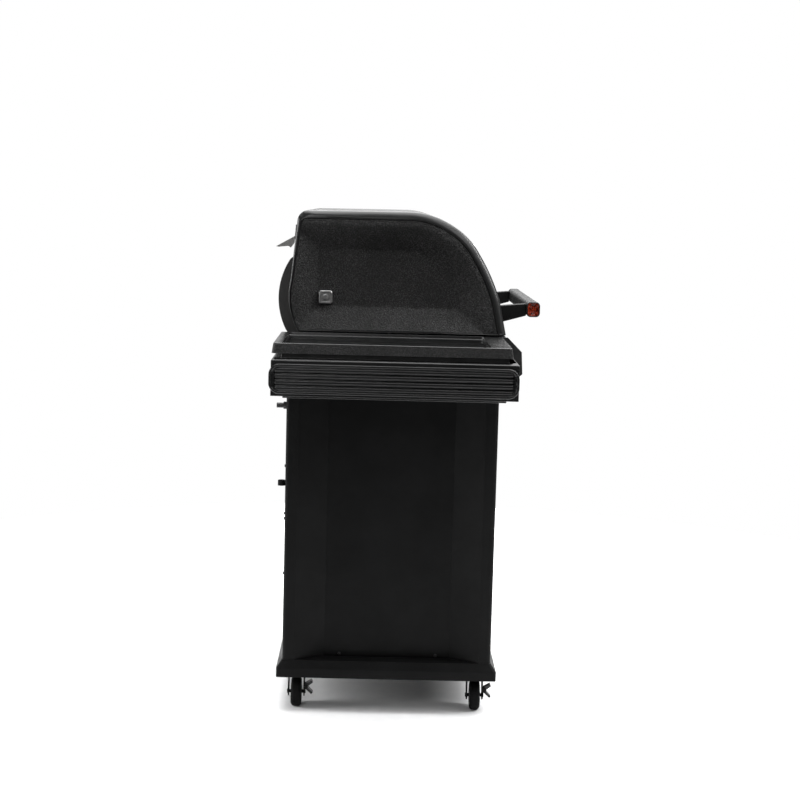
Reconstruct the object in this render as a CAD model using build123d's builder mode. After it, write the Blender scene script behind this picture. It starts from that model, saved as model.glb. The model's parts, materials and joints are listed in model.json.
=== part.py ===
from build123d import *
import os

# A gas barbecue grill on a closed cabinet with four braked casters, in millimetres.
# +Z is up, the front faces -Y, and +X is the user's right when facing the front.
# Sizes are laid out from the cabinet's centre line; keep() moves each finished piece along Y by
# BOX_SHIFT, so that the whole grill's box stands centred on the origin.

# Overall
HALF_WIDTH = 650.0
TOP_Z = 1175.0
BOX_SHIFT = 31.0
SHEET = 2.0
FIT = 0.05

# Cabinet and base
CAB_X = 340.0
CAB_Y = 245.0
CAB_TOP = 779.0
SCOOP_X = 300.0
SCOOP_Y = 148.0
STRIP_Y = 216.0
EDGE_R = 9.0
BASE_X = 353.0
BASE_Y = 258.0
BASE_Z = 86.0
BASE_SHOULDER_Z = 107.0
BASE_TOP = 125.0
DOOR_TOP = 739.0
DOOR_FRONT = -244.0
DOOR_DEPTH = 18.0
DOOR_PIVOT = (311.0, -236.0)
DOOR_PIN_R = 4.0
BRACKET_Z = 743.0

# Casters
CASTER_X = 270.0
CASTER_Y = 212.0
TRAIL = 22.0
WHEEL_R = 35.0
WHEEL_W = 25.0
CHEEK_GAP = 17.0
CHEEK_T = 3.0
KINGPIN_R = 5.0
AXLE_R = 4.0
PLATE_T = 3.0
PEDAL_PIN_R = 2.0
PEDAL_Y = -23.5
PEDAL_Z = 49.0

# Support frame and grease tray
FRAME_TOP = 799.0
TRAY_HALF = 146.0
TRAY_FLOOR = 751.3
TRAY_TOP = 773.0

# Cookbox
BOX_X = 323.0
BOX_FRONT = -213.0
BOX_BACK = 236.0
BOX_TOP = 896.0
BOX_WALL = 3.0
EAR_T = 6.0
BURNER_X = (-200.0, 0.0, 200.0)
BURNER_Z = 845.0
BURNER_R = 11.0
PIPE_R = 7.0
OUTLET = 120.0

# Gas pipe
GAS_X = -290.0
GAS_Z = 720.0
MANIFOLD_Y = -232.0
MANIFOLD_Z = 822.0

# Control panel
PANEL_X = 345.0
CHEEK_X = 350.0
PANEL_FACE = -264.0
KNOB_R = 21.0
STEM_R = 4.0

# Side shelves
SHELF_IN = 352.0
SHELF_OUT = 640.0
SHELF_TOP = 897.0
DECK_LOW = 875.0
DECK_FLOOR = 880.0
LEDGE_Z = 865.0
SHELF_Y = 263.0
RAIL_TOP = 854.0
RAIL_LOW = 790.0
RIBS = 4
RIB_PITCH = 13.0
RAIL_BORDER = 6.0
RAIL_ROUND = 23.0
SHELF_LOW = 784.0
NECK_Y = 241.0

# Hood
HOOD_X = 350.0
CAP_T = 23.0
CAP_SKIN = 3.0
DISH_SLOPE = 70.0
HINGE = (160.0, 977.0)
HINGE_R = 6.0
HANDLE_X = 280.0
HANDLE_BACK = -306.0
HANDLE_FRONT = -337.0
HANDLE_MID = (HANDLE_BACK + HANDLE_FRONT) / 2
HANDLE_Z = 956.5
HANDLE_TALL = 35.0
HANDLE_ROUND = 8.0
INSERT_T = 8.0

# Points of the hood's outline in the YZ plane, from its front lower edge round to the rear
FRONT_LOW = (-254.8, 900)
BROW_END = (-238, 979)
CROWN_START = (-25, TOP_Z)
REAR_CORNER = (203, 1173.5)
REAR_TOP = (227, 1149)
LIP_ROOT = (230.3, 1112)
REAR_LOW = (222, 900)

# The thermometer sits on the hood's brow, square to its slope
DIAL_R = 36.0
DIAL_PLANE = Plane(origin=(0, -203, 1062), x_dir=(1, 0, 0), z_dir=(0, -0.885, 0.466))


def keep(piece, name):
    moved = piece.part.moved(Location((0, BOX_SHIFT, 0)))
    moved.label = name
    os.makedirs("parts", exist_ok=True)
    export_step(moved, f"parts/{name}.step")


def mirrored(piece):
    """The same piece on the other side of the grill."""
    with BuildPart() as other:
        mirror(piece.part, about=Plane.YZ)
    return other


def sides(builder, name):
    """Make a piece for the user's left, and mirror it to the right."""
    left = builder()
    keep(left, f"{name}_left")
    keep(mirrored(left), f"{name}_right")


def plate(x_range, y_range, z_range, mode=Mode.ADD):
    """An axis-aligned block between two corners, added to the piece being built."""
    size = [high - low for low, high in (x_range, y_range, z_range)]
    centre = [(high + low) / 2 for low, high in (x_range, y_range, z_range)]
    with Locations(tuple(centre)):
        Box(*size, mode=mode)


def front_point(z):
    """The point of the hood's front edge line at a height."""
    share = (z - FRONT_LOW[1]) / (BROW_END[1] - FRONT_LOW[1])
    return (FRONT_LOW[0] + share * (BROW_END[0] - FRONT_LOW[0]), z)


# ------------------------------------------------------------------ cabinet


def base_pan():
    channel_half = 32.0
    with BuildPart() as pan:
        for inset, mode in ((0, Mode.ADD), (BOX_WALL, Mode.SUBTRACT)):
            with BuildSketch(Plane.XY.offset(BASE_Z)):
                RectangleRounded(2 * (BASE_X - inset), 2 * (BASE_Y - inset), 6)
            extrude(amount=BASE_SHOULDER_Z - BASE_Z, mode=mode)
            with BuildSketch(Plane.XY.offset(BASE_SHOULDER_Z)):
                RectangleRounded(2 * (BASE_X - inset), 2 * (BASE_Y - inset), 6)
            with BuildSketch(Plane.XY.offset(BASE_TOP - inset)):
                RectangleRounded(2 * (CAB_X + 1 - inset), 2 * (CAB_Y + 1 - inset), 6)
            loft(mode=mode)
        for x in (-CASTER_X, CASTER_X):
            span = BASE_Y - BOX_WALL
            top = BASE_TOP - BOX_WALL
            plate((x - channel_half, x + channel_half), (-span, span), (BASE_Z, BASE_SHOULDER_Z))
            plate((x - channel_half, x + channel_half), (-237, 237), (BASE_SHOULDER_Z, top))
            hollow = channel_half - BOX_WALL
            plate((x - hollow, x + hollow), (-234, 234), (BASE_Z + BOX_WALL, top), Mode.SUBTRACT)
    return pan


def cabinet_side():
    """Pressed side panel: flat strips at both edges, and a deep trough between slanted bands."""
    with BuildPart() as panel:
        with BuildSketch(Plane.XY.offset(BASE_TOP)):
            with BuildLine():
                FilletPolyline(
                    (-CAB_X + 22, CAB_Y),
                    (-CAB_X, CAB_Y),
                    (-CAB_X, STRIP_Y),
                    (-SCOOP_X, SCOOP_Y),
                    (-SCOOP_X, -SCOOP_Y),
                    (-CAB_X, -STRIP_Y),
                    (-CAB_X, -CAB_Y),
                    (-CAB_X + 15, -CAB_Y),
                    radius=(EDGE_R, 3, 3, 3, 3, EDGE_R),
                )
                offset(amount=SHEET, side=Side.LEFT)
            make_face()
        extrude(amount=CAB_TOP - BASE_TOP)
    return panel


def cabinet_back():
    """Rear panel with two rows of vent slots and a hole for the gas pipe."""
    outer = CAB_Y - SHEET
    with BuildPart() as panel:
        plate((-330, 330), (outer - SHEET, outer), (BASE_TOP, CAB_TOP))
        with BuildSketch(Plane.XZ.offset(-outer)):
            for z in (200, 660):
                with Locations((0, z)):
                    with GridLocations(36, 0, 12, 1):
                        SlotOverall(40, 6, rotation=90)
            with Locations((GAS_X, GAS_Z)):
                Circle(PIPE_R + 1)
        extrude(amount=SHEET, mode=Mode.SUBTRACT)
    return panel


def support_frame():
    """Welded frame on top of the cabinet, with the front rail, tray runners and door brackets."""
    with BuildPart() as frame:
        with BuildSketch(Plane.XY.offset(CAB_TOP)):
            Rectangle(2 * CAB_X, 2 * (CAB_Y - SHEET))
            with Locations((0, 6.5)):
                Rectangle(2 * CAB_X - 50, 413, mode=Mode.SUBTRACT)
        extrude(amount=FRAME_TOP - CAB_TOP)
        with Locations((GAS_X, MANIFOLD_Y, (CAB_TOP + FRAME_TOP) / 2)):
            Cylinder(PIPE_R + 1, FRAME_TOP - CAB_TOP, mode=Mode.SUBTRACT)
        front = -CAB_Y + SHEET
        plate((-323, 323), (front, front + SHEET), (BRACKET_Z, CAB_TOP))
        plate((-150, 150), (front, front + SHEET), (750, 775), Mode.SUBTRACT)
        for side in (-1, 1):
            web = sorted((side * 149, side * 151))
            ledge = sorted((side * 140, side * 151))
            bracket = sorted((side * 300, side * 322))
            plate(web, (front + SHEET, 225), (749, CAB_TOP))
            plate(ledge, (front + SHEET, 225), (749, 751))
            plate(bracket, (front, -226), (BRACKET_Z, BRACKET_Z + 3))
    return frame


def screws():
    """Screw heads: at the foot of each trough, up the rear edges, and four under each caster plate."""
    with BuildPart() as heads:
        for side in (-1, 1):
            for y in (-116, 112):
                with Locations(Location((side * (SCOOP_X + 1.25), y, 131), (0, 90, 0))):
                    Cylinder(4, 2.5)
            for z in (329, 459, 471, 583):
                with Locations(Location((side * 325, CAB_Y + 1.5, z), (90, 0, 0))):
                    Cylinder(3.5, 3)
        for x, y in caster_places():
            with Locations((x, y, BASE_Z - PLATE_T - 1)):
                with GridLocations(46, 46, 2, 2):
                    Cylinder(4, 2)
    return heads


def door():
    """Folded door pan with pivot blocks at the top and bottom of its outer edge."""
    x_range = (-321, -1.5)
    back = DOOR_FRONT + DOOR_DEPTH
    low = BASE_TOP + 4
    with BuildPart() as leaf:
        plate(x_range, (DOOR_FRONT, back), (low, DOOR_TOP))
        fillet(leaf.faces().sort_by(Axis.Y)[0].edges(), 2)
        inner_x = (x_range[0] + SHEET, x_range[1] - SHEET)
        plate(inner_x, (DOOR_FRONT + SHEET, back), (low + SHEET, DOOR_TOP - SHEET), Mode.SUBTRACT)
        for z in (low + SHEET, DOOR_TOP - SHEET - 14):
            plate((x_range[0] + SHEET, -301), (DOOR_FRONT + SHEET, back), (z, z + 14))
        for z in (low, DOOR_TOP - 14):
            with Locations((-DOOR_PIVOT[0], DOOR_PIVOT[1], z + 7)):
                Cylinder(DOOR_PIN_R + FIT, 14, mode=Mode.SUBTRACT)
    return leaf


def door_handle():
    """Folded finger pull along the door's free edge, open towards the middle of the grill."""
    with BuildPart() as pull:
        with BuildSketch(Plane.XY.offset(430)):
            with BuildLine():
                FilletPolyline(
                    (-6, DOOR_FRONT),
                    (-34, DOOR_FRONT),
                    (-34, DOOR_FRONT - 18),
                    (-14, DOOR_FRONT - 18),
                    radius=(2.5, 5),
                )
                offset(amount=SHEET, side=Side.LEFT)
            make_face()
        extrude(amount=270)
    return pull


def hinge_pins():
    """Four door pivots, and the two pins that the hood turns on."""
    with BuildPart() as pins:
        for side in (-1, 1):
            for low, high in ((BASE_TOP, BASE_TOP + 14), (DOOR_TOP - 10, BRACKET_Z)):
                with Locations((side * DOOR_PIVOT[0], DOOR_PIVOT[1], (low + high) / 2)):
                    Cylinder(DOOR_PIN_R, high - low)
            with Locations(Location((side * 323.5, *HINGE), (0, 90, 0))):
                Cylinder(HINGE_R, 21)
            with Locations(Location((side * 315, *HINGE), (0, 90, 0))):
                Cylinder(10, 4)
    return pins


# ------------------------------------------------------------------ casters


def caster_places():
    return [(x, y) for x in (-CASTER_X, CASTER_X) for y in (-CASTER_Y, CASTER_Y)]


def caster_plates():
    """Mounting plates, each with the kingpin that its fork swivels on."""
    with BuildPart() as plates:
        for x, y in caster_places():
            with BuildSketch(Plane.XY.offset(BASE_Z - PLATE_T)):
                with Locations((x, y)):
                    RectangleRounded(60, 60, 5)
            extrude(amount=PLATE_T)
            with Locations((x, y, BASE_Z - PLATE_T - 4.5)):
                Cylinder(KINGPIN_R, 9)
    return plates


def caster_fork(x, y):
    """Swivel cup, crown and two cheeks, with the axle and the ears of the brake pedal."""
    hub_x = x - TRAIL
    nut_y = CHEEK_GAP + CHEEK_T + 1
    with BuildPart() as fork:
        with Locations((x, y, 79.9)):
            Cylinder(21, 5.2)
        with BuildSketch(Plane.XY.offset(74)):
            with Locations((x, y), (hub_x, y)):
                Circle(CHEEK_GAP + CHEEK_T)
            make_hull()
        extrude(amount=3.5)
        for near in (CHEEK_GAP, -CHEEK_GAP - CHEEK_T):
            with BuildSketch(Plane.XZ.offset(-y - near)):
                with Locations((hub_x, WHEEL_R)):
                    Circle(11)
                with Locations((x - 9, 75.5)):
                    Rectangle(34, 3)
                make_hull()
            extrude(amount=-CHEEK_T)
        with Locations(Location((hub_x, y, WHEEL_R), (90, 0, 0))):
            Cylinder(AXLE_R, 2 * (CHEEK_GAP + CHEEK_T))
        for side in (-1, 1):
            with Locations(Location((hub_x, y + side * nut_y, WHEEL_R), (90, 0, 0))):
                Cylinder(AXLE_R + 1, 2)
            ear = sorted((hub_x + side * 9, hub_x + side * 12))
            plate(ear, (y + PEDAL_Y - 3.5, y - CHEEK_GAP), (PEDAL_Z - 5, PEDAL_Z + 5))
        with Locations(Location((hub_x, y + PEDAL_Y, PEDAL_Z), (0, 90, 0))):
            Cylinder(PEDAL_PIN_R, 24)
        with Locations((x, y, 78)):
            Cylinder(KINGPIN_R + FIT, 10, mode=Mode.SUBTRACT)
    return fork


def caster_wheel(x, y):
    """Wheel with a rounded tread, a dished web and a through bore."""
    half = WHEEL_W / 2
    with BuildPart() as wheel:
        with Locations(Location((x - TRAIL, y, WHEEL_R), (90, 0, 0))):
            Cylinder(WHEEL_R, WHEEL_W)
        fillet(wheel.edges().filter_by(GeomType.CIRCLE), 6)
        with Locations(Location((x - TRAIL, y, WHEEL_R), (90, 0, 0))):
            Cylinder(AXLE_R + FIT, WHEEL_W, mode=Mode.SUBTRACT)
        for side in (-1, 1):
            with BuildSketch(Plane.XZ.offset(-y - side * half)):
                with Locations((x - TRAIL, WHEEL_R)):
                    Circle(23)
                    Circle(9, mode=Mode.SUBTRACT)
            extrude(amount=side * 4, mode=Mode.SUBTRACT)
    return wheel


def caster_pedal(x, y):
    """Rocker pedal of the wheel lock, with one prong up and one down."""
    hub_x = x - TRAIL
    pin_y = y + PEDAL_Y
    with BuildPart() as pedal:
        with BuildSketch(Plane.YZ.offset(hub_x - 8.5)):
            with BuildLine():
                Polyline(
                    (pin_y + 2, PEDAL_Z + 6),
                    (pin_y - 13, PEDAL_Z + 15),
                    (pin_y - 15.5, PEDAL_Z + 9.5),
                    (pin_y - 4.5, PEDAL_Z + 1),
                    (pin_y - 4.5, PEDAL_Z - 3),
                    (pin_y - 15.5, PEDAL_Z - 14.5),
                    (pin_y - 12, PEDAL_Z - 19),
                    (pin_y + 2, PEDAL_Z - 6),
                    close=True,
                )
            make_face()
        extrude(amount=17)
        with Locations(Location((hub_x, pin_y, PEDAL_Z), (0, 90, 0))):
            Cylinder(PEDAL_PIN_R + FIT, 17, mode=Mode.SUBTRACT)
    return pedal


# ------------------------------------------------------------------ cookbox and gas train


def back_arc(inset=0.0):
    """Rear profile of the firebox, which runs round the hood's hinge."""
    ThreePointArc((250.5 - inset, 900), (267.5 - inset, 960), (242 - inset, 1062.7))


def cookbox():
    """Tub with a grease hopper, burner holes, ledges, and a tall ear at each side for the hood."""
    with BuildPart() as tub:
        plate((-BOX_X, BOX_X), (BOX_FRONT, BOX_BACK), (FRAME_TOP, BOX_TOP))
        inner_x = BOX_X - BOX_WALL
        inner_y = (BOX_FRONT + BOX_WALL, BOX_BACK - BOX_WALL)
        plate((-inner_x, inner_x), inner_y, (FRAME_TOP, BOX_TOP), Mode.SUBTRACT)
        mid_y = (BOX_FRONT + BOX_BACK) / 2
        depth = inner_y[1] - inner_y[0]
        for drop, mode in ((BOX_WALL, Mode.ADD), (0, Mode.SUBTRACT)):
            with BuildSketch(Plane.XY.offset(830 - drop)):
                with Locations((0, mid_y)):
                    Rectangle(2 * inner_x + drop, depth + drop)
            with BuildSketch(Plane.XY.offset(FRAME_TOP)):
                with Locations((0, mid_y)):
                    Rectangle(OUTLET + 2 * drop, OUTLET + 2 * drop)
            loft(mode=mode)
        for z, reach in ((856, 8), (880, 12)):
            plate((-inner_x, inner_x), (inner_y[0], inner_y[0] + reach), (z, z + 4))
            plate((-inner_x, inner_x), (inner_y[1] - reach, inner_y[1]), (z, z + 4))
        for x in BURNER_X:
            with Locations(Location((x, BOX_FRONT, BURNER_Z), (90, 0, 0))):
                Cylinder(BURNER_R + 0.3, 4 * BOX_WALL, mode=Mode.SUBTRACT)
        for start in (-BOX_X, BOX_X - EAR_T):
            with BuildSketch(Plane.YZ.offset(start)):
                with BuildLine():
                    Line((105, 880), (236, 880))
                    Line((236, 880), (250.5, 900))
                    back_arc()
                    Polyline((242, 1062.7), (150, 1062.7), (105, 1020), (105, 880))
                make_face()
                with Locations(HINGE):
                    Circle(HINGE_R, mode=Mode.SUBTRACT)
            extrude(amount=EAR_T)
        for side in (-1, 1):
            for y in (115, 185):
                with Locations(Location((side * 314.5, y, 1004), (0, 90, 0))):
                    Cylinder(4, 5)
    return tub


def rear_duct():
    """Curved back wall between the ears, which sends the smoke up to the hood's rear lip."""
    reach = BOX_X - EAR_T
    foot = BOX_BACK + SHEET
    with BuildPart() as duct:
        with BuildSketch(Plane.YZ.offset(-reach)):
            with BuildLine():
                Polyline((foot, 872), (foot, 884), (250.5, 900))
                back_arc()
                Line((242, 1062.7), (242 - SHEET, 1062.7))
                back_arc(inset=SHEET)
                Polyline((250.5 - SHEET, 900), (BOX_BACK, 884), (BOX_BACK, 872), (foot, 872))
            make_face()
        extrude(amount=2 * reach)
    return duct


def gas_manifold():
    """One bent pipe: along the valves, down through the frame and back to the inlet."""
    route = (
        (240, MANIFOLD_Y, MANIFOLD_Z),
        (GAS_X, MANIFOLD_Y, MANIFOLD_Z),
        (GAS_X, MANIFOLD_Y, GAS_Z + 42),
        (GAS_X, 200, GAS_Z + 42),
        (GAS_X, 200, GAS_Z),
        (GAS_X, CAB_Y - SHEET, GAS_Z),
    )
    with BuildPart() as pipe:
        with BuildLine():
            FilletPolyline(*route, radius=18)
        with BuildSketch(Plane(origin=route[0], z_dir=(-1, 0, 0))):
            Circle(PIPE_R)
        sweep()
    return pipe


def gas_inlet():
    """Flanged hose nipple behind the cabinet, with a hexagon and a bore."""
    start = CAB_Y - SHEET
    with BuildPart() as inlet:
        for radius, low, high in ((13, start, start + 3), (6, start, start + 27)):
            with BuildSketch(Plane.XZ.offset(-low)):
                with Locations((GAS_X, GAS_Z)):
                    Circle(radius)
            extrude(amount=low - high)
        with BuildSketch(Plane.XZ.offset(-start - 3)):
            with Locations((GAS_X, GAS_Z)):
                RegularPolygon(8, 6, major_radius=False)
        extrude(amount=-8)
        with Locations(Location((GAS_X, start + 17, GAS_Z), (90, 0, 0))):
            Cylinder(3.5, 22, mode=Mode.SUBTRACT)
    return inlet


def hose_clip():
    """Open ring on a foot that holds the gas hose against the back panel."""
    start = CAB_Y - SHEET
    with BuildPart() as clip:
        plate((-314, -290), (start, start + SHEET), (531, 547))
        with Locations((-302, start + 11.5, 539)):
            Cylinder(10, 12)
            Cylinder(8, 12, mode=Mode.SUBTRACT)
        plate((-306, -298), (start + 18, start + 23), (530, 548), Mode.SUBTRACT)
    return clip


def gas_valves():
    """A valve block on the manifold behind each knob, with its orifice in the burner's mouth."""
    with BuildPart() as valves:
        for x in BURNER_X:
            plate((x - 13, x + 13), (-256, -226), (824, 859))
            with Locations(Location((x, -221, BURNER_Z), (90, 0, 0))):
                Cylinder(4, 10)
            with Locations(Location((x, -243, BURNER_Z), (90, 0, 0))):
                Cylinder(STEM_R + FIT, 26, mode=Mode.SUBTRACT)
        with Locations(Location((0, MANIFOLD_Y, MANIFOLD_Z), (0, 90, 0))):
            Cylinder(PIPE_R, 480, mode=Mode.SUBTRACT)
    return valves


def burner_tubes():
    """Straight tube burners with a row of ports along each flank."""
    front, back = -219.0, 190.0
    middle = (front + back) / 2
    with BuildPart() as tubes:
        for x in BURNER_X:
            with Locations(Location((x, middle, BURNER_Z), (90, 0, 0))):
                Cylinder(BURNER_R, back - front)
            with Locations(Location((x, middle - 2, BURNER_Z), (90, 0, 0))):
                Cylinder(BURNER_R - 1.5, back - front, mode=Mode.SUBTRACT)
            with Locations((x, middle + 20, BURNER_Z + 4)):
                with GridLocations(0, 24, 1, 14):
                    Box(2 * BURNER_R + 2, 3, 1.6, mode=Mode.SUBTRACT)
    return tubes


def heat_tents():
    """Folded covers that shield each burner, resting on the lower ledges."""
    span = (-208, 231)
    with BuildPart() as tents:
        for x in BURNER_X:
            with BuildSketch(Plane.XZ.offset(-span[0])):
                with BuildLine():
                    Polyline((x - 48, 860), (x, 878), (x + 48, 860), (x + 42, 860), (x, 875.8))
                    Polyline((x, 875.8), (x - 42, 860), (x - 48, 860))
                make_face()
            extrude(amount=span[0] - span[1])
    return tents


def igniters():
    """Spark electrode in its ceramic sleeve beside each burner."""
    with BuildPart() as sparks:
        for x in BURNER_X:
            with Locations(Location((x + 22, -190, BURNER_Z + 2), (90, 0, 0))):
                Cylinder(3.5, 40)
            with Locations(Location((x + 22, -160, BURNER_Z + 2), (90, 0, 0))):
                Cylinder(1.2, 20)
    return sparks


def cooking_grates():
    """Two cast grates side by side, each a frame with bars running front to back."""
    low, thick = 884.0, 11.0
    front, back = BOX_FRONT + 5, BOX_BACK - 5
    with BuildPart() as grates:
        for side in (-1, 1):
            with BuildSketch(Plane.XY.offset(low)):
                with Locations((side * 158.5, (front + back) / 2)):
                    Rectangle(314, back - front)
                    Rectangle(298, back - front - 16, mode=Mode.SUBTRACT)
                    with GridLocations(16.6, 0, 17, 1):
                        Rectangle(6, back - front - 10)
                    Rectangle(307, 8)
            extrude(amount=thick)
    return grates


def warming_rack():
    """Wire shelf held on pegs behind and above the grates."""
    with BuildPart() as rack:
        for x in (-313, 313):
            with Locations((x, 150, 1011)):
                Box(5, 110, 6)
        for y in (98, 150, 202):
            with Locations(Location((0, y, 1011), (0, 90, 0))):
                Cylinder(3, 624)
        with Locations((0, 150, 1015)):
            with GridLocations(26, 0, 23, 1):
                Box(3, 110, 3)
    return rack


# ------------------------------------------------------------------ control panel


def control_panel():
    """Folded fascia, set back between the end cheeks, with a hole for each valve stem."""
    with BuildPart() as fascia:
        with BuildSketch(Plane.YZ.offset(-PANEL_X)):
            with BuildLine():
                FilletPolyline(
                    (BOX_FRONT, BOX_TOP),
                    (-255, BOX_TOP),
                    (PANEL_FACE, 885),
                    (PANEL_FACE, 808),
                    (-244, 808),
                    radius=(4, 4, 3),
                )
                offset(amount=SHEET, side=Side.LEFT)
            make_face()
        extrude(amount=2 * PANEL_X)
        for x in BURNER_X:
            with Locations(Location((x, PANEL_FACE, BURNER_Z), (90, 0, 0))):
                Cylinder(6, 4 * SHEET, mode=Mode.SUBTRACT)
    return fascia


def panel_ends():
    """Moulded cheeks that close both ends of the control panel and shelter the knobs."""
    with BuildPart() as cheeks:
        for start in (-CHEEK_X, PANEL_X):
            with BuildSketch(Plane.YZ.offset(start)):
                with BuildLine():
                    FilletPolyline(
                        (BOX_FRONT, BOX_TOP),
                        (-259, BOX_TOP),
                        (-292, 863),
                        (-295, 812),
                        (-288, 806),
                        (-244, 806),
                        (-244, FRAME_TOP + 1),
                        (BOX_FRONT, FRAME_TOP + 1),
                        radius=3,
                        close=True,
                    )
                make_face()
            extrude(amount=CHEEK_X - PANEL_X)
    return cheeks


def knob_bezels():
    with BuildPart() as rings:
        with BuildSketch(Plane.XZ.offset(-PANEL_FACE)):
            with Locations(*[(x, BURNER_Z) for x in BURNER_X]):
                Circle(30)
                Circle(KNOB_R + 2, mode=Mode.SUBTRACT)
        extrude(amount=3)
    return rings


def knob(x):
    """Control knob with a grip bar across its face and a blind bore for the stem."""
    back = PANEL_FACE - 3.5
    with BuildPart() as grip:
        with BuildSketch(Plane.XZ.offset(-back)):
            with Locations((x, BURNER_Z)):
                Circle(KNOB_R)
        extrude(amount=10, taper=6)
        with BuildSketch(Plane.XZ.offset(-back + 9)):
            with Locations((x, BURNER_Z)):
                SlotOverall(36, 11, rotation=90)
        extrude(amount=14)
        with Locations(Location((x, back - 6, BURNER_Z), (90, 0, 0))):
            Cylinder(STEM_R + FIT, 12, mode=Mode.SUBTRACT)
    return grip


def valve_stem(x):
    """Sprung stem that is pushed in before the knob can turn."""
    with BuildPart() as stem:
        with Locations(Location((x, -257, BURNER_Z), (90, 0, 0))):
            Cylinder(STEM_R, 42)
    return stem


# ------------------------------------------------------------------ side shelves


def shelf_frame():
    """Box frame with a neck up to the tray, a step at the bottom and two cabinet brackets."""
    x_range = (-SHELF_OUT, -SHELF_IN)
    with BuildPart() as frame:
        plate(x_range, (-SHELF_Y, SHELF_Y), (SHELF_LOW, LEDGE_Z))
        chamfer(frame.faces().sort_by(Axis.Z)[-1].edges(), 5)
        inner_x = (x_range[0] + BOX_WALL, x_range[1] - BOX_WALL)
        reach = SHELF_Y - BOX_WALL
        plate(inner_x, (-reach, reach), (SHELF_LOW, LEDGE_Z - 6), Mode.SUBTRACT)
        hollow_y = (BOX_WALL - NECK_Y, NECK_Y - BOX_WALL)
        plate((inner_x[0] + 20, inner_x[1] - 20), hollow_y, (LEDGE_Z - 8, LEDGE_Z), Mode.SUBTRACT)
        plate((x_range[0] + 12, x_range[1] - 12), hollow_y, (CAB_TOP, SHELF_LOW))
        plate(inner_x, (-reach, reach), (SHELF_LOW, SHELF_LOW + BOX_WALL))
        neck_x = (x_range[0] + 6, x_range[1] - 6)
        plate(neck_x, (-NECK_Y, NECK_Y), (LEDGE_Z, DECK_LOW))
        hollow_x = (neck_x[0] + BOX_WALL, neck_x[1] - BOX_WALL)
        plate(hollow_x, hollow_y, (LEDGE_Z, DECK_LOW), Mode.SUBTRACT)
        for y in (-150, 150):
            plate((-SHELF_IN, -CAB_X), (y - 20, y + 20), (SHELF_LOW, FRAME_TOP))
            plate((-630, -362), (y - 6, y + 6), (LEDGE_Z - 8, DECK_FLOOR - BOX_WALL))
    return frame


def shelf_tray():
    """Pressed tray: a broad rim at the front, a narrow one round the rest, and a recessed floor."""
    recess_x = (-SHELF_OUT + 4, -SHELF_IN - 5)
    recess_y = (-203, 240)
    with BuildPart() as tray:
        with BuildSketch(Plane.YZ.offset(-SHELF_OUT)):
            with BuildLine():
                FilletPolyline(
                    (-250, DECK_LOW),
                    (-247, SHELF_TOP),
                    (258, SHELF_TOP),
                    (262, DECK_LOW),
                    radius=5,
                    close=False,
                )
                Line((262, DECK_LOW), (-250, DECK_LOW))
            make_face()
        extrude(amount=SHELF_OUT - SHELF_IN)
        wall_x = (recess_x[0] - 1.5, recess_x[1] + 1.5)
        for reach in ((-244, recess_y[0] - 2), (recess_y[1] + 2, 254)):
            plate(wall_x, reach, (DECK_LOW, SHELF_TOP - 3.5), Mode.SUBTRACT)
        plate(wall_x, (-244, 254), (DECK_LOW, DECK_FLOOR - BOX_WALL), Mode.SUBTRACT)
        with BuildSketch(Plane.XY.offset(DECK_FLOOR)):
            with Locations((sum(recess_x) / 2, sum(recess_y) / 2)):
                RectangleRounded(recess_x[1] - recess_x[0], recess_y[1] - recess_y[0], 10)
        extrude(amount=SHELF_TOP - DECK_FLOOR, mode=Mode.SUBTRACT)
    return tray


def accessory_rails():
    """Ribbed rails along the outer edge of both shelves, for hooks and hanging accessories."""
    back, rib_face = SHELF_OUT, HALF_WIDTH
    centre = (2.0, (RAIL_LOW + RAIL_TOP) / 2)
    length, height = 530.0, RAIL_TOP - RAIL_LOW
    with BuildPart() as rail:
        with BuildSketch(Plane.YZ.offset(-back)):
            with Locations(centre):
                RectangleRounded(length, height, RAIL_ROUND)
        extrude(amount=-6)
        with BuildSketch(Plane.YZ.offset(-back - 6)):
            with Locations(centre):
                RectangleRounded(length, height, RAIL_ROUND)
                inner = (length - 2 * RAIL_BORDER, height - 2 * RAIL_BORDER)
                RectangleRounded(*inner, RAIL_ROUND - RAIL_BORDER, mode=Mode.SUBTRACT)
                with GridLocations(0, RIB_PITCH, 1, RIBS):
                    RectangleRounded(502, 7, 2)
        extrude(amount=back + 6 - rib_face)
    with BuildPart() as rails:
        add(rail.part)
        mirror(rail.part, about=Plane.YZ)
    return rails


# ------------------------------------------------------------------ hood


def crown_lines():
    """The hood's line from its front edge, over the top, to the upper rear corner."""
    Line(FRONT_LOW, BROW_END)
    ThreePointArc(BROW_END, (-213.5, 1040), (-189, 1083.5))
    ThreePointArc((-189, 1083.5), (-155.5, 1125.5), (-119, 1151))
    ThreePointArc((-119, 1151), (-73, 1169.6), CROWN_START)
    Line(CROWN_START, REAR_CORNER)
    ThreePointArc(REAR_CORNER, (219.5, 1166), REAR_TOP)


def hood_outline():
    crown_lines()
    Line(REAR_TOP, (240, 1015))
    ThreePointArc((240, 1015), (242.5, 962), REAR_LOW)
    Line(REAR_LOW, FRONT_LOW)


def sunken_block(depth):
    """The room between the end's outer plane and a sunken floor, inside four sloping walls."""
    with BuildPart() as block:
        with BuildSketch(Plane.YZ.offset(depth - HOOD_X)):
            with BuildLine():
                Polyline((-144, 957), (178, 957), (178, 1087), (-42, 1087))
                ThreePointArc((-42, 1087), (-112, 1042), (-144, 957))
            make_face()
        extrude(amount=-depth, taper=-DISH_SLOPE)
    return block.part


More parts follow.
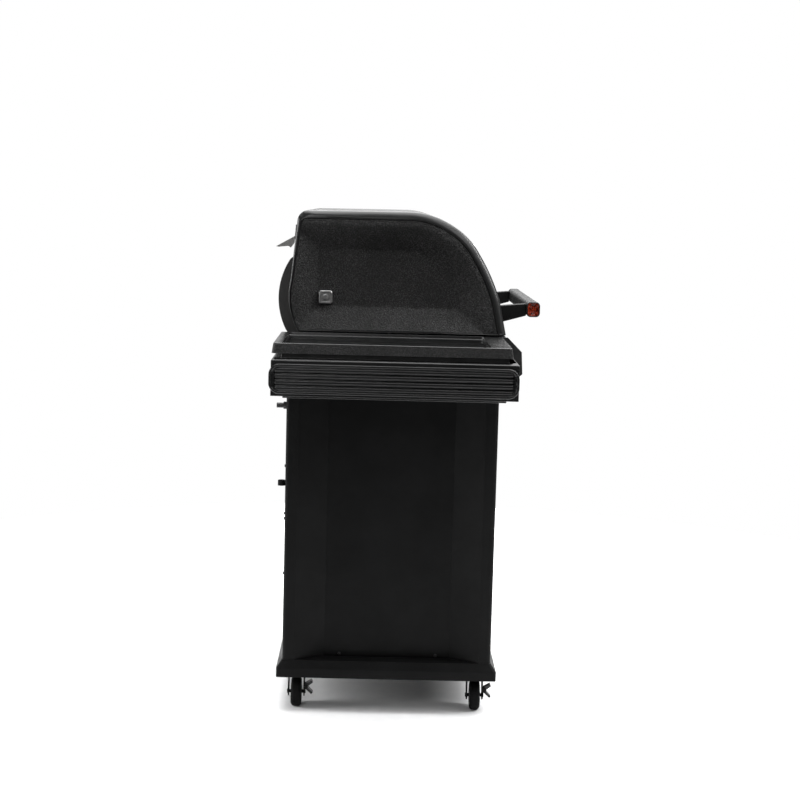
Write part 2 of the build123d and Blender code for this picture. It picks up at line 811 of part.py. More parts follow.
def cap_hollow():
    """What is left empty behind the end's skin."""
    with BuildPart() as hollow:
        with BuildSketch(Plane.YZ.offset(CAP_SKIN - HOOD_X)):
            with BuildLine():
                hood_outline()
            make_face()
            offset(amount=-CAP_SKIN, mode=Mode.REPLACE)
        extrude(amount=CAP_T - CAP_SKIN)
        add(sunken_block(CAP_T), mode=Mode.SUBTRACT)
    return hollow.part


def hood_cap():
    """Pressed end of the hood: a smooth rim, then sloping walls down to a sunken floor."""
    with BuildPart() as cap:
        with BuildSketch(Plane.YZ.offset(-HOOD_X)):
            with BuildLine():
                hood_outline()
            make_face()
            with Locations(HINGE):
                Circle(HINGE_R + FIT, mode=Mode.SUBTRACT)
        extrude(amount=CAP_T)
        add(sunken_block(CAP_T - CAP_SKIN), mode=Mode.SUBTRACT)
        add(cap_hollow(), mode=Mode.SUBTRACT)
    return cap


def hood_shroud():
    """Bent sheet between the two ends, with a hole for the thermometer."""
    reach = HOOD_X - CAP_T
    with BuildPart() as shroud:
        with BuildSketch(Plane.YZ.offset(-reach)):
            with BuildLine():
                crown_lines()
                Line(REAR_TOP, LIP_ROOT)
                offset(amount=SHEET, side=Side.RIGHT)
            make_face()
        extrude(amount=2 * reach)
        with BuildSketch(DIAL_PLANE):
            Circle(DIAL_R - 6)
        extrude(amount=8, both=True, mode=Mode.SUBTRACT)
    return shroud


def hood_lip():
    """Plain metal deflector along the top of the smoke outlet."""
    with BuildPart() as lip:
        with BuildSketch(Plane.YZ.offset(-322)):
            with BuildLine():
                FilletPolyline((229.5, 1140), (231.3, 1113), (274, 1088.5), radius=3)
                offset(amount=SHEET, side=Side.LEFT)
            make_face()
        extrude(amount=644)
    return lip


def hinge_covers():
    """Square covers over the hood's pins, each with a sunken middle and a round screw head."""
    with BuildPart() as covers:
        for side in (-1, 1):
            floor_x = side * (HOOD_X - CAP_T + CAP_SKIN)
            with BuildSketch(Plane.YZ.offset(floor_x)):
                with Locations(HINGE):
                    RectangleRounded(31, 31, 6)
            extrude(amount=side * 8)
            chamfer(covers.faces().sort_by(Axis.X)[-1 if side > 0 else 0].edges(), 1.5)
            with BuildSketch(Plane.YZ.offset(floor_x + side * 6)):
                with Locations(HINGE):
                    RectangleRounded(21, 21, 4)
                    Circle(7, mode=Mode.SUBTRACT)
            extrude(amount=side * 2, mode=Mode.SUBTRACT)
            with Locations(Location((floor_x + side * 8.5, *HINGE), (0, 90, 0))):
                Cylinder(5.5, 1)
            with Locations(Location((floor_x + side * 2.5, *HINGE), (0, 90, 0))):
                Cylinder(HINGE_R + 1, 5, mode=Mode.SUBTRACT)
    return covers


def handle_bar():
    length = 2 * (HANDLE_X - INSERT_T)
    with BuildPart() as bar:
        with BuildSketch(Plane.YZ.offset(-length / 2)):
            with Locations((HANDLE_MID, HANDLE_Z)):
                RectangleRounded(HANDLE_BACK - HANDLE_FRONT, HANDLE_TALL, HANDLE_ROUND)
        extrude(amount=length)
    return bar


def handle_ends():
    """Facetted inserts that close both ends of the bar."""
    with BuildPart() as ends:
        for side in (-1, 1):
            with BuildSketch(Plane.YZ.offset(side * (HANDLE_X - INSERT_T))):
                with Locations((HANDLE_MID, HANDLE_Z)):
                    RectangleRounded(HANDLE_BACK - HANDLE_FRONT, HANDLE_TALL, HANDLE_ROUND)
            extrude(amount=side * INSERT_T, taper=12)
    return ends


def handle_arms():
    """Arms that hold the bar off the hood's front."""
    with BuildPart() as arms:
        for start in (-268, 242):
            with BuildSketch(Plane.YZ.offset(start)):
                with BuildLine():
                    Polyline(
                        front_point(963),
                        (HANDLE_BACK, 969),
                        (HANDLE_BACK, 941),
                        front_point(925),
                        close=True,
                    )
                make_face()
            extrude(amount=26)
    return arms


def thermometer_case():
    """Dial case with a sunken face, a centre post and a probe into the hood."""
    with BuildPart() as case:
        with BuildSketch(DIAL_PLANE):
            Circle(DIAL_R)
        extrude(amount=8)
        with BuildSketch(DIAL_PLANE):
            Circle(DIAL_R - 6.5)
        extrude(amount=-9)
        with BuildSketch(DIAL_PLANE.offset(8)):
            Circle(DIAL_R - 4)
        extrude(amount=-5, mode=Mode.SUBTRACT)
        with BuildSketch(DIAL_PLANE.offset(3)):
            Circle(1.5)
        extrude(amount=3)
        with BuildSketch(DIAL_PLANE.offset(-9)):
            Circle(3)
        extrude(amount=-50)
    return case


def thermometer_needle():
    """Pointer that turns on the case's post."""
    with BuildPart() as needle:
        with BuildSketch(DIAL_PLANE.offset(3.6)):
            Circle(4)
            Polygon((-8, -2), (-8, 2), (26, 0.6), (26, -0.6), align=None, rotation=225)
            Circle(1.5 + FIT, mode=Mode.SUBTRACT)
        extrude(amount=1)
    return needle


# ------------------------------------------------------------------ grease tray


def grease_tray():
    """Drawer under the cookbox, on two runners, with a flanged front and a finger lip."""
    front = -CAB_Y - 1.0
    with BuildPart() as tray:
        plate((-TRAY_HALF, TRAY_HALF), (front + SHEET, 150), (TRAY_FLOOR, TRAY_TOP))
        inner = TRAY_HALF - SHEET
        inner_y = (front + 2 * SHEET, 150 - SHEET)
        plate((-inner, inner), inner_y, (TRAY_FLOOR + SHEET, TRAY_TOP), Mode.SUBTRACT)
        plate((-158, 158), (front, front + SHEET), (745, 778))
        plate((-60, 60), (front - 11, front), (764, 767))
        plate((-60, 60), (front - 11, front - 9), (756, 764))
    return tray


# ------------------------------------------------------------------ the whole grill


def make_fixed_pieces():
    for name, builder in {
        "base_pan": base_pan,
        "cabinet_back": cabinet_back,
        "support_frame": support_frame,
        "screws": screws,
        "hinge_pins": hinge_pins,
        "caster_plates": caster_plates,
        "cookbox": cookbox,
        "rear_duct": rear_duct,
        "gas_manifold": gas_manifold,
        "gas_inlet": gas_inlet,
        "hose_clip": hose_clip,
        "gas_valves": gas_valves,
        "burner_tubes": burner_tubes,
        "heat_tents": heat_tents,
        "igniters": igniters,
        "cooking_grates": cooking_grates,
        "warming_rack": warming_rack,
        "control_panel": control_panel,
        "panel_ends": panel_ends,
        "knob_bezels": knob_bezels,
        "accessory_rails": accessory_rails,
    }.items():
        keep(builder(), name)
    sides(cabinet_side, "cabinet_side")
    sides(shelf_frame, "shelf_frame")
    sides(shelf_tray, "shelf_tray")


def make_moving_pieces():
    for name, builder in {
        "hood_shroud": hood_shroud,
        "hood_lip": hood_lip,
        "hinge_covers": hinge_covers,
        "handle_bar": handle_bar,
        "handle_ends": handle_ends,
        "handle_arms": handle_arms,
        "thermometer_case": thermometer_case,
        "thermometer_needle": thermometer_needle,
        "grease_tray": grease_tray,
    }.items():
        keep(builder(), name)
    sides(hood_cap, "hood_cap")
    sides(door, "door")
    sides(door_handle, "door_handle")
    for place, x in zip(("left", "middle", "right"), BURNER_X):
        keep(knob(x), f"knob_{place}")
        keep(valve_stem(x), f"valve_stem_{place}")
    for x, y in caster_places():
        place = f"{'front' if y < 0 else 'rear'}_{'left' if x < 0 else 'right'}"
        keep(caster_fork(x, y), f"caster_fork_{place}")
        keep(caster_wheel(x, y), f"wheel_{place}")
        keep(caster_pedal(x, y), f"brake_pedal_{place}")


make_fixed_pieces()
make_moving_pieces()
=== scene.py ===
import json
import math
import bmesh
import bpy
from mathutils import Matrix, Vector

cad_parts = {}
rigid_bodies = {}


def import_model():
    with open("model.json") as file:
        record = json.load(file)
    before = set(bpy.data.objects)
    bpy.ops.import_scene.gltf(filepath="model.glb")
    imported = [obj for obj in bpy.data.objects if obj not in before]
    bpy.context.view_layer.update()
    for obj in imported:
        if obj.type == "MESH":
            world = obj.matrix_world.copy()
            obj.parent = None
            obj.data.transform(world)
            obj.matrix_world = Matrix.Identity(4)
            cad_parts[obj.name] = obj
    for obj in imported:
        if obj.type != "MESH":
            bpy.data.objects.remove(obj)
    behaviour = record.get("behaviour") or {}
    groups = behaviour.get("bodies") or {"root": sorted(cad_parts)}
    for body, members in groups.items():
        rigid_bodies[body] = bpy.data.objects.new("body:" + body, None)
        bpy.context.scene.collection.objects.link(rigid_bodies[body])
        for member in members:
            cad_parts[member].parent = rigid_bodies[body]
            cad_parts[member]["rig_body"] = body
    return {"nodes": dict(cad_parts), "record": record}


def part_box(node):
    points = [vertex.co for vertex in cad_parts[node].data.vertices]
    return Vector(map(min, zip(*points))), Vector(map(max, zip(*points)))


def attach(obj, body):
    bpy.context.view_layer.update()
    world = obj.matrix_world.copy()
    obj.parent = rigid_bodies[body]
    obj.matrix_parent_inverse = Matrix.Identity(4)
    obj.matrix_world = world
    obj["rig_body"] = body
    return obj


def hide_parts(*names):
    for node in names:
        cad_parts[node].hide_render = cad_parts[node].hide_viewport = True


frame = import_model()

# Looks for a gas barbecue grill on a closed cabinet. Lengths written with MM are in millimetres.
# Outlines are laid out from the cabinet's centre line, like the frame's own pieces.

MM = 0.001
NODES = frame["nodes"]
SLOT_OF = {part["node"]: part["material_slot"] for part in frame["record"]["subparts"]}
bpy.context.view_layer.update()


def middle(node):
    low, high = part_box(node)
    return (low + high) / 2


CENTRE_Y = middle("cabinet_side_left").y
SHARP = math.radians(32)
LEFT, RIGHT = -1, 1


def body_of(node):
    return NODES[node]["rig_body"]


# ------------------------------------------------------------------ camera, lights and floor


EYE = (-4.0537, 0.0697, 1.2069)
YAW = math.radians(-0.845)
PITCH = math.radians(7.090)
ROLL = math.radians(1.499)
LENS = 73.19
SENSOR_WIDTH = 36


def add_camera():
    """The photo's camera: it looks along +X, a little down, and leans slightly."""
    level_run = math.cos(PITCH)
    forward = Vector((level_run * math.cos(YAW), level_run * math.sin(YAW), -math.sin(PITCH)))
    level = forward.cross(Vector((0, 0, 1))).normalized()
    above = level.cross(forward)
    right = math.cos(ROLL) * level + math.sin(ROLL) * above
    up = math.cos(ROLL) * above - math.sin(ROLL) * level
    data = bpy.data.cameras.new("camera")
    data.lens = LENS
    data.sensor_width = SENSOR_WIDTH
    camera = bpy.data.objects.new("camera", data)
    axes = Matrix((right, up, -forward)).transposed().to_4x4()
    camera.matrix_world = Matrix.Translation(EYE) @ axes
    bpy.context.scene.collection.objects.link(camera)
    bpy.context.scene.camera = camera


# Name, place, the point it faces, width and height in metres, watts.
LIGHTS = (
    ("overhead", (0.8, -0.5, 3.6), (0, -0.2, 0.4), (4.0, 5.4), 500),
    ("front_strip", (-0.9, -3.2, 2.9), (-0.3, 0, 0.9), (0.5, 2.2), 110),
    ("rear_strip", (-0.7, 3.4, 1.5), (-0.3, 0, 0.9), (1.2, 2.4), 120),
    ("backdrop", (4.2, 0, 1.4), (0, 0, 1.0), (7.0, 3.0), 40),
    ("beside_camera", (-4.2, 1.0, 2.6), (0, 0, 0.8), (1.4, 1.4), 38),
    ("front_high", (-2.2, -1.9, 3.1), (0, -0.1, 1.1), (1.6, 1.4), 24),
)


def add_area_light(name, place, target, size, watts):
    data = bpy.data.lights.new(name, "AREA")
    data.shape = "RECTANGLE"
    data.size, data.size_y = size
    data.energy = watts
    light = bpy.data.objects.new(name, data)
    aim = (Vector(target) - Vector(place)).to_track_quat("-Z", "Y")
    light.matrix_world = Matrix.Translation(place) @ aim.to_matrix().to_4x4()
    bpy.context.scene.collection.objects.link(light)


def add_world(shown, cast):
    """A white backdrop for the camera, which lights the scene only dimly."""
    world = bpy.data.worlds.new("studio")
    bpy.context.scene.world = world
    world.use_nodes = True
    tree = world.node_tree
    tree.nodes.clear()
    output = tree.nodes.new("ShaderNodeOutputWorld")
    mix = tree.nodes.new("ShaderNodeMixShader")
    path = tree.nodes.new("ShaderNodeLightPath")
    tree.links.new(path.outputs["Is Camera Ray"], mix.inputs[0])
    for socket, strength in ((1, cast), (2, shown)):
        background = tree.nodes.new("ShaderNodeBackground")
        background.inputs["Color"].default_value = (1, 1, 1, 1)
        background.inputs["Strength"].default_value = strength
        tree.links.new(background.outputs[0], mix.inputs[socket])
    tree.links.new(mix.outputs[0], output.inputs[0])


def add_floor(radius):
    bm = bmesh.new()
    bmesh.ops.create_circle(bm, cap_ends=True, segments=96, radius=radius)
    mesh = bpy.data.meshes.new("floor")
    bm.to_mesh(mesh)
    bm.free()
    floor = bpy.data.objects.new("floor", mesh)
    bpy.context.scene.collection.objects.link(floor)
    mesh.materials.append(paper("floor_paper"))


# ------------------------------------------------------------------ materials


class Recipe:
    """A material's node tree, built a few nodes at a time around one Principled shader."""

    def __init__(self, name, roughness=0.5, metallic=0.0, specular=0.5):
        self.material = bpy.data.materials.new(name)
        self.material.use_nodes = True
        self.tree = self.material.node_tree
        self.shader = self.tree.nodes["Principled BSDF"]
        self.shader.inputs["Roughness"].default_value = roughness
        self.shader.inputs["Metallic"].default_value = metallic
        self.shader.inputs["Specular IOR Level"].default_value = specular
        self.place = self.add("ShaderNodeTexCoord").outputs["Object"]

    def add(self, kind, **settings):
        node = self.tree.nodes.new(kind)
        for name, value in settings.items():
            setattr(node, name, value)
        return node

    def link(self, output, target):
        self.tree.links.new(output, target)

    def stretched(self, stretch):
        mapping = self.add("ShaderNodeMapping")
        mapping.inputs["Scale"].default_value = stretch
        self.link(self.place, mapping.inputs["Vector"])
        return mapping.outputs["Vector"]

    def noise(self, size, detail=3.0, rough=0.5, stretch=None):
        """Noise whose lumps are about `size` metres across."""
        node = self.add("ShaderNodeTexNoise")
        node.inputs["Scale"].default_value = 1 / size
        node.inputs["Detail"].default_value = detail
        node.inputs["Roughness"].default_value = rough
        self.link(self.stretched(stretch) if stretch else self.place, node.inputs["Vector"])
        return node.outputs["Fac"]

    def cells(self, size, feature="F1", output="Distance"):
        node = self.add("ShaderNodeTexVoronoi", feature=feature)
        node.inputs["Scale"].default_value = 1 / size
        self.link(self.place, node.inputs["Vector"])
        return node.outputs[output]

    def span(self, value, low, high, start=0.3, end=0.7):
        node = self.add("ShaderNodeMapRange")
        node.inputs["From Min"].default_value = start
        node.inputs["From Max"].default_value = end
        node.inputs["To Min"].default_value = low
        node.inputs["To Max"].default_value = high
        self.link(value, node.inputs["Value"])
        return node.outputs["Result"]

    def blend(self, share, first, second):
        """A colour between two, each a tuple or another node's output."""
        node = self.add("ShaderNodeMix", data_type="RGBA")
        self.link(share, node.inputs["Factor"])
        for socket, value in ((node.inputs[6], first), (node.inputs[7], second)):
            if isinstance(value, tuple):
                socket.default_value = (*value, 1)
            else:
                self.link(value, socket)
        return node.outputs[2]

    def worn(self, colour, bare, amount):
        """The colour, paler along raised edges."""
        shape = self.add("ShaderNodeNewGeometry").outputs["Pointiness"]
        return self.blend(self.span(shape, 0.0, amount, 0.51, 0.6), colour, bare)

    def coloured(self, colour):
        self.link(colour, self.shader.inputs["Base Color"])

    def roughened(self, value, low, high, start=0.3, end=0.7):
        self.link(self.span(value, low, high, start, end), self.shader.inputs["Roughness"])

    def bumped(self, height, depth, strength=1.0, below=None):
        node = self.add("ShaderNodeBump")
        node.inputs["Strength"].default_value = strength
        node.inputs["Distance"].default_value = depth
        self.link(height, node.inputs["Height"])
        if below:
            self.link(below, node.inputs["Normal"])
        self.link(node.outputs["Normal"], self.shader.inputs["Normal"])
        return node.outputs["Normal"]


def grey(value, warm=0.0):
    return (value * (1 + warm), value, value * (1 - warm))


def powder_coat(name, dark, light, roughness, grain, depth, specular=0.3):
    """Satin powder coat: orange peel, slight mottling and edges rubbed a little paler."""
    recipe = Recipe(name, specular=specular)
    cloud = recipe.noise(90 * MM, 4)
    colour = recipe.blend(recipe.span(cloud, 0, 1), grey(dark, -0.02), grey(light, -0.02))
    recipe.coloured(recipe.worn(colour, grey(light * 2.4), 0.55))
    low, high = roughness
    recipe.roughened(recipe.noise(35 * MM, 5), low, high)
    peel = recipe.bumped(recipe.noise(grain, 2), depth, 0.6)
    recipe.bumped(recipe.noise(60 * MM, 1), 0.4 * MM, 0.12, below=peel)
    return recipe.material


def wrinkle_coat(name, dark, light, grain, depth):
    """Coarse textured coat: crowded small wrinkles whose tops carry painted glints, paler specks that
    stand in for light catching them.
    """
    recipe = Recipe(name, specular=0.2)
    lumps = recipe.noise(grain, 3, 0.65)
    # Painted highlight: the paler colour on the wrinkle tops stands in for glints of light, not a second
    # tone of paint.
    speck = recipe.span(lumps, 0, 1, 0.45, 0.68)
    colour = recipe.blend(speck, grey(dark), grey(light))
    cloud = recipe.span(recipe.noise(120 * MM, 3), 0, 0.5)
    recipe.coloured(recipe.blend(cloud, colour, grey(dark * 0.9)))
    recipe.roughened(lumps, 0.3, 0.5)
    coarse = recipe.bumped(lumps, depth, 1.0)
    recipe.bumped(recipe.cells(grain * 1.5), depth * 0.8, 0.6, below=coarse)
    return recipe.material


def enamel(name, dark, light, roughness=0.12, coat=0.6):
    """Glossy fired enamel with a faint ripple and fine dust specks."""
    recipe = Recipe(name, roughness=roughness, specular=0.5)
    recipe.shader.inputs["Coat Weight"].default_value = coat
    recipe.shader.inputs["Coat Roughness"].default_value = 0.06
    cloud = recipe.noise(70 * MM, 3)
    recipe.coloured(recipe.blend(recipe.span(cloud, 0, 1), dark, light))
    recipe.roughened(recipe.noise(12 * MM, 5), roughness, roughness + 0.14)
    ripple = recipe.bumped(recipe.noise(7 * MM, 2), 0.12 * MM, 0.18)
    recipe.bumped(recipe.noise(0.7 * MM, 2), 0.03 * MM, 0.25, below=ripple)
    return recipe.material


def brushed_metal(name, dark, light, roughness, along, tint=0.0):
    """Rolled or brushed metal whose fine scratches run along one axis."""
    recipe = Recipe(name, metallic=1.0)
    stretch = [1.0, 1.0, 1.0]
    stretch[along] = 0.02
    lines = recipe.noise(0.8 * MM, 4, 0.7, stretch=stretch)
    cloud = recipe.noise(50 * MM, 4)
    colour = recipe.blend(recipe.span(lines, 0, 1), grey(dark, tint), grey(light, tint))
    recipe.coloured(recipe.blend(recipe.span(cloud, 0, 0.35), colour, grey(dark * 0.8, tint)))
    low, high = roughness
    recipe.roughened(cloud, low, high)
    recipe.bumped(lines, 0.03 * MM, 0.5)
    return recipe.material


def galvanised(name, dark, light, roughness):
    """Zinc plate: small spangles of slightly different grey."""
    recipe = Recipe(name, metallic=1.0)
    spangle = recipe.cells(3.5 * MM, output="Color")
    split = recipe.add("ShaderNodeSeparateColor")
    recipe.link(spangle, split.inputs[0])
    shade = split.outputs[0]
    colour = recipe.blend(shade, grey(dark, -0.02), grey(light, 0.02))
    stains = recipe.span(recipe.noise(14 * MM, 5), 0, 0.4, 0.5, 0.8)
    recipe.coloured(recipe.blend(stains, colour, grey(dark * 0.6, 0.05)))
    low, high = roughness
    recipe.roughened(shade, low, high, 0, 1)
    recipe.bumped(recipe.noise(1.2 * MM, 3), 0.05 * MM, 0.4)
    return recipe.material


def cast_metal(name, dark, light, roughness, metallic):
    """Sand-cast surface: pits and grains, paler on the ridges."""
    recipe = Recipe(name, metallic=metallic, specular=0.35)
    sand = recipe.noise(1.6 * MM, 5, 0.7)
    colour = recipe.blend(recipe.span(sand, 0, 1), grey(dark, 0.03), grey(light, 0.03))
    recipe.coloured(recipe.worn(colour, grey(light * 2.2, 0.04), 0.5))
    low, high = roughness
    recipe.roughened(recipe.noise(20 * MM, 4), low, high)
    grains = recipe.bumped(sand, 0.35 * MM, 0.7)
    recipe.bumped(recipe.cells(4 * MM), 0.2 * MM, 0.25, below=grains)
    return recipe.material


def moulded_plastic(name, dark, light, roughness):
    """Plastic with a fine spark-eroded grain."""
    recipe = Recipe(name, specular=0.4)
    cloud = recipe.noise(25 * MM, 4)
    recipe.coloured(recipe.worn(recipe.blend(recipe.span(cloud, 0, 1), dark, light), light, 0.3))
    low, high = roughness
    recipe.roughened(recipe.noise(9 * MM, 4), low, high)
    recipe.bumped(recipe.noise(0.5 * MM, 3), 0.06 * MM, 0.5)
    return recipe.material


def tinted_insert(name, deep, bright):
    """Clear tinted plastic over a bright backing, as on a reflector."""
    recipe = Recipe(name, specular=0.12)
    recipe.shader.inputs["Coat Weight"].default_value = 0.05
    recipe.shader.inputs["Coat Roughness"].default_value = 0.15
    flow = recipe.noise(7 * MM, 4, 0.6)
    recipe.coloured(recipe.blend(recipe.span(flow, 0, 1, 0.35, 0.62), deep, bright))
    recipe.roughened(recipe.noise(4 * MM, 3), 0.22, 0.4)
    recipe.bumped(recipe.noise(3 * MM, 3), 0.25 * MM, 0.5)
    return recipe.material


def tyre_rubber(name):
    recipe = Recipe(name, specular=0.1)
    scuff = recipe.noise(8 * MM, 6, 0.7)
    dust = recipe.span(scuff, 0, 1, 0.45, 0.75)
    recipe.coloured(recipe.blend(dust, (0.002, 0.002, 0.0022), (0.006, 0.0058, 0.0055)))
    recipe.roughened(scuff, 0.6, 0.85)
    recipe.bumped(recipe.noise(0.9 * MM, 4), 0.12 * MM, 0.6)
    return recipe.material


def glazed_ceramic(name):
    recipe = Recipe(name, specular=0.5)
    speck = recipe.noise(1.5 * MM, 4)
    recipe.coloured(recipe.blend(recipe.span(speck, 0, 1), (0.62, 0.59, 0.53), (0.82, 0.8, 0.75)))
    recipe.roughened(recipe.noise(5 * MM, 3), 0.2, 0.4)
    recipe.bumped(speck, 0.05 * MM, 0.3)
    return recipe.material


def dial_glass(name):
    recipe = Recipe(name, roughness=0.03, specular=0.5)
    recipe.shader.inputs["Transmission Weight"].default_value = 1.0
    recipe.shader.inputs["IOR"].default_value = 1.45
    haze = recipe.noise(6 * MM, 4)
    recipe.coloured(recipe.blend(recipe.span(haze, 0, 1), (0.93, 0.96, 0.95), (1.0, 1.0, 1.0)))
    recipe.roughened(haze, 0.01, 0.05)
    return recipe.material


def paper(name):
    """Pale studio paper with a barely visible tooth."""
    recipe = Recipe(name, specular=0.1)
    fibre = recipe.noise(30 * MM, 5)
    recipe.coloured(recipe.blend(recipe.span(fibre, 0, 1), (0.84, 0.845, 0.85), (0.88, 0.88, 0.88)))
    recipe.roughened(fibre, 0.85, 0.95)
    recipe.bumped(recipe.noise(1.5 * MM, 2), 0.05 * MM, 0.2)
    return recipe.material


FINISH = {
    "satin_black": powder_coat("satin_black", 0.003, 0.005, (0.34, 0.46), 0.9 * MM, 0.05 * MM, 0.06),
    # The wrinkle coat's paler value here is the colour of its painted glints.
    "textured_black": wrinkle_coat("textured_black", 0.003, 0.058, 2.4 * MM, 1.6 * MM),
    "gloss_black": powder_coat("gloss_black", 0.005, 0.007, (0.28, 0.34), 0.8 * MM, 0.01 * MM, 0.35),
    "handle_enamel": powder_coat("handle_enamel", 0.02, 0.03, (0.4, 0.5), 0.8 * MM, 0.04 * MM, 0.16),
    "plain_steel": brushed_metal("plain_steel", 0.22, 0.32, (0.34, 0.46), 0, 0.02),
    "cast_iron_black": cast_metal("cast_iron_black", 0.01, 0.022, (0.42, 0.6), 0.0),
    "cast_aluminium": cast_metal("cast_aluminium", 0.008, 0.014, (0.4, 0.55), 0.0),
    "zinc_plate": galvanised("zinc_plate", 0.26, 0.34, (0.28, 0.4)),
    "brass": brushed_metal("brass", 0.45, 0.6, (0.2, 0.35), 1, 0.32),
    "black_plastic": moulded_plastic("black_plastic", grey(0.006), grey(0.011), (0.32, 0.46)),
    "chrome": brushed_metal("chrome", 0.62, 0.75, (0.06, 0.14), 2),
    "needle_red": enamel("needle_red", (0.45, 0.02, 0.012), (0.6, 0.03, 0.02)),
    "orange_insert": tinted_insert("orange_insert", (0.012, 0.0008, 0.0004), (0.2, 0.018, 0.004)),
    "ceramic": glazed_ceramic("ceramic"),
    "rubber": tyre_rubber("rubber"),
}
SLEEK_BLACK = powder_coat("sleek_black", 0.004, 0.006, (0.2, 0.27), 0.8 * MM, 0.01 * MM, 0.5)
# Its paler value, too, is the colour of painted glints on the wrinkle tops.
FINE_BLACK = wrinkle_coat("fine_black", 0.006, 0.06, 1.8 * MM, 0.7 * MM)
DIAL_WHITE = enamel("dial_white", (0.42, 0.42, 0.4), (0.5, 0.5, 0.48), 0.5, 0.0)
DIAL_INK = moulded_plastic("dial_ink", grey(0.01), grey(0.02), (0.4, 0.5))
CLEAR = dial_glass("dial_glass")


# ------------------------------------------------------------------ mesh tools


def finished(name, bm, body, slot, materials=None, replaced=(), sharp=SHARP):
    """Turn a bmesh into a piece that rides on a body, in the finish of a material slot."""
    bmesh.ops.recalc_face_normals(bm, faces=bm.faces)
    mesh = bpy.data.meshes.new(name)
    bm.to_mesh(mesh)
    bm.free()
    for material in materials or [FINISH[slot]]:
        mesh.materials.append(material)
    mesh.shade_smooth()
    mesh.set_sharp_from_angle(angle=sharp)
    piece = bpy.data.objects.new(name, mesh)
    bpy.context.scene.collection.objects.link(piece)
    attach(piece, body)
    if replaced:
        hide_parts(*replaced)
    return piece


def weigh_normals(piece):
    """Keep broad faces looking flat where small rounded edges meet them."""
    modifier = piece.modifiers.new("flat_faces", "WEIGHTED_NORMAL")
    modifier.keep_sharp = True
    return piece


def softened(node, width, segments=2, look=None, clamp=True):
    """A copy of a frame node with its sharp edges rounded over, which stands for the node."""
    bm = bmesh.new()
    bm.from_mesh(NODES[node].data)
    bmesh.ops.remove_doubles(bm, verts=bm.verts, dist=0.004 * MM)
    bmesh.ops.dissolve_limit(bm, angle_limit=math.radians(0.5), verts=bm.verts, edges=bm.edges)
    corners = [e for e in bm.edges if len(e.link_faces) == 2 and e.calc_face_angle() > SHARP]
    bmesh.ops.bevel(
        bm,
        geom=corners,
        offset=width,
        offset_type="OFFSET",
        segments=segments,
        profile=0.5,
        affect="EDGES",
        clamp_overlap=clamp,
        material=-1,
    )
    for face in bm.faces:
        face.material_index = 0
    slot = SLOT_OF[node]
    looks = [look or FINISH[slot]]
    return weigh_normals(finished(f"{node}_shown", bm, body_of(node), slot, looks, (node,)))


def skin(bm, rings, closed=True, material=0):
    """Faces between neighbouring rings of points, all with the same count."""
    rows = [[bm.verts.new(point) for point in ring] for ring in rings]
    count = len(rows[0])
    last = count if closed else count - 1
    for near, far in zip(rows, rows[1:]):
        for i in range(last):
            j = (i + 1) % count
            face = bm.faces.new((near[i], near[j], far[j], far[i]))
            face.material_index = material
    return rows


def lid(bm, row, material=0):
    face = bm.faces.new(row)
    face.material_index = material
    return face


def arc_points(start, through, end, steps):
    """Points on the circle through three points of a plane, from the first to the last."""
    (ax, ay), (bx, by), (cx, cy) = start, through, end
    d = 2 * (ax * (by - cy) + bx * (cy - ay) + cx * (ay - by))
    a2, b2, c2 = ax * ax + ay * ay, bx * bx + by * by, cx * cx + cy * cy
    ux = (a2 * (by - cy) + b2 * (cy - ay) + c2 * (ay - by)) / d
    uy = (a2 * (cx - bx) + b2 * (ax - cx) + c2 * (bx - ax)) / d
    radius = math.hypot(ax - ux, ay - uy)
    angles = [math.atan2(y - uy, x - ux) for x, y in (start, through, end)]
    turn = 2 * math.pi
    sweep = (angles[2] - angles[0]) % turn
    if (angles[1] - angles[0]) % turn > sweep:
        sweep -= turn
    return [
        (
            ux + radius * math.cos(angles[0] + sweep * i / steps),
            uy + radius * math.sin(angles[0] + sweep * i / steps),
        )
        for i in range(steps + 1)
    ]


def rounded_path(corners, steps=5, closed=False):
    """A polyline with rounded corners: each corner is (u, v, radius)."""
    path = []
    count = len(corners)
    for i, (u, v, radius) in enumerate(corners):
        here = Vector((u, v))
        inner = closed or 0 < i < count - 1
        if radius == 0 or not inner:
            path.append((u, v))
            continue
        back = Vector(corners[i - 1][:2]) - here
        on = Vector(corners[(i + 1) % count][:2]) - here
        half = back.angle(on) / 2
        reach = min(radius / math.tan(half), 0.499 * back.length, 0.499 * on.length)
        first, last = here + back.normalized() * reach, here + on.normalized() * reach
        radius = reach * math.tan(half)
        bisector = (back.normalized() + on.normalized()).normalized()
        centre = here + bisector * (radius / math.sin(half))
        nearest = centre - bisector * radius
        path += arc_points(tuple(first), tuple(nearest), tuple(last), steps)
    return path


def rectangle(u_range, v_range, radius, steps=6):
    (u0, u1), (v0, v1) = u_range, v_range
    corners = [(u0, v0, radius), (u1, v0, radius), (u1, v1, radius), (u0, v1, radius)]
    return rounded_path(corners, steps, closed=True)


def mirrored_piece(piece, name, body, slot, replaced=()):
    """The same piece on the other side of the grill."""
    bm = bmesh.new()
    bm.from_mesh(piece.data)
    bmesh.ops.transform(bm, matrix=Matrix.Scale(-1, 4, Vector((1, 0, 0))), verts=bm.verts)
    bmesh.ops.reverse_faces(bm, faces=bm.faces)
    return finished(name, bm, body, slot, list(piece.data.materials), replaced)


def turned(profile, place, axis, segments=48):
    """Rings of a turned shape: profile is (radius, height), height runs from place along axis."""
    spin = Vector((0, 0, 1)).rotation_difference(Vector(axis)).to_matrix()
    rings = []
    for radius, height in profile:
        ring = []
        for i in range(segments):
            angle = 2 * math.pi * i / segments
            local = Vector((radius * math.cos(angle), radius * math.sin(angle), height))
            ring.append(Vector(place) + spin @ local)
        rings.append(ring)
    return rings


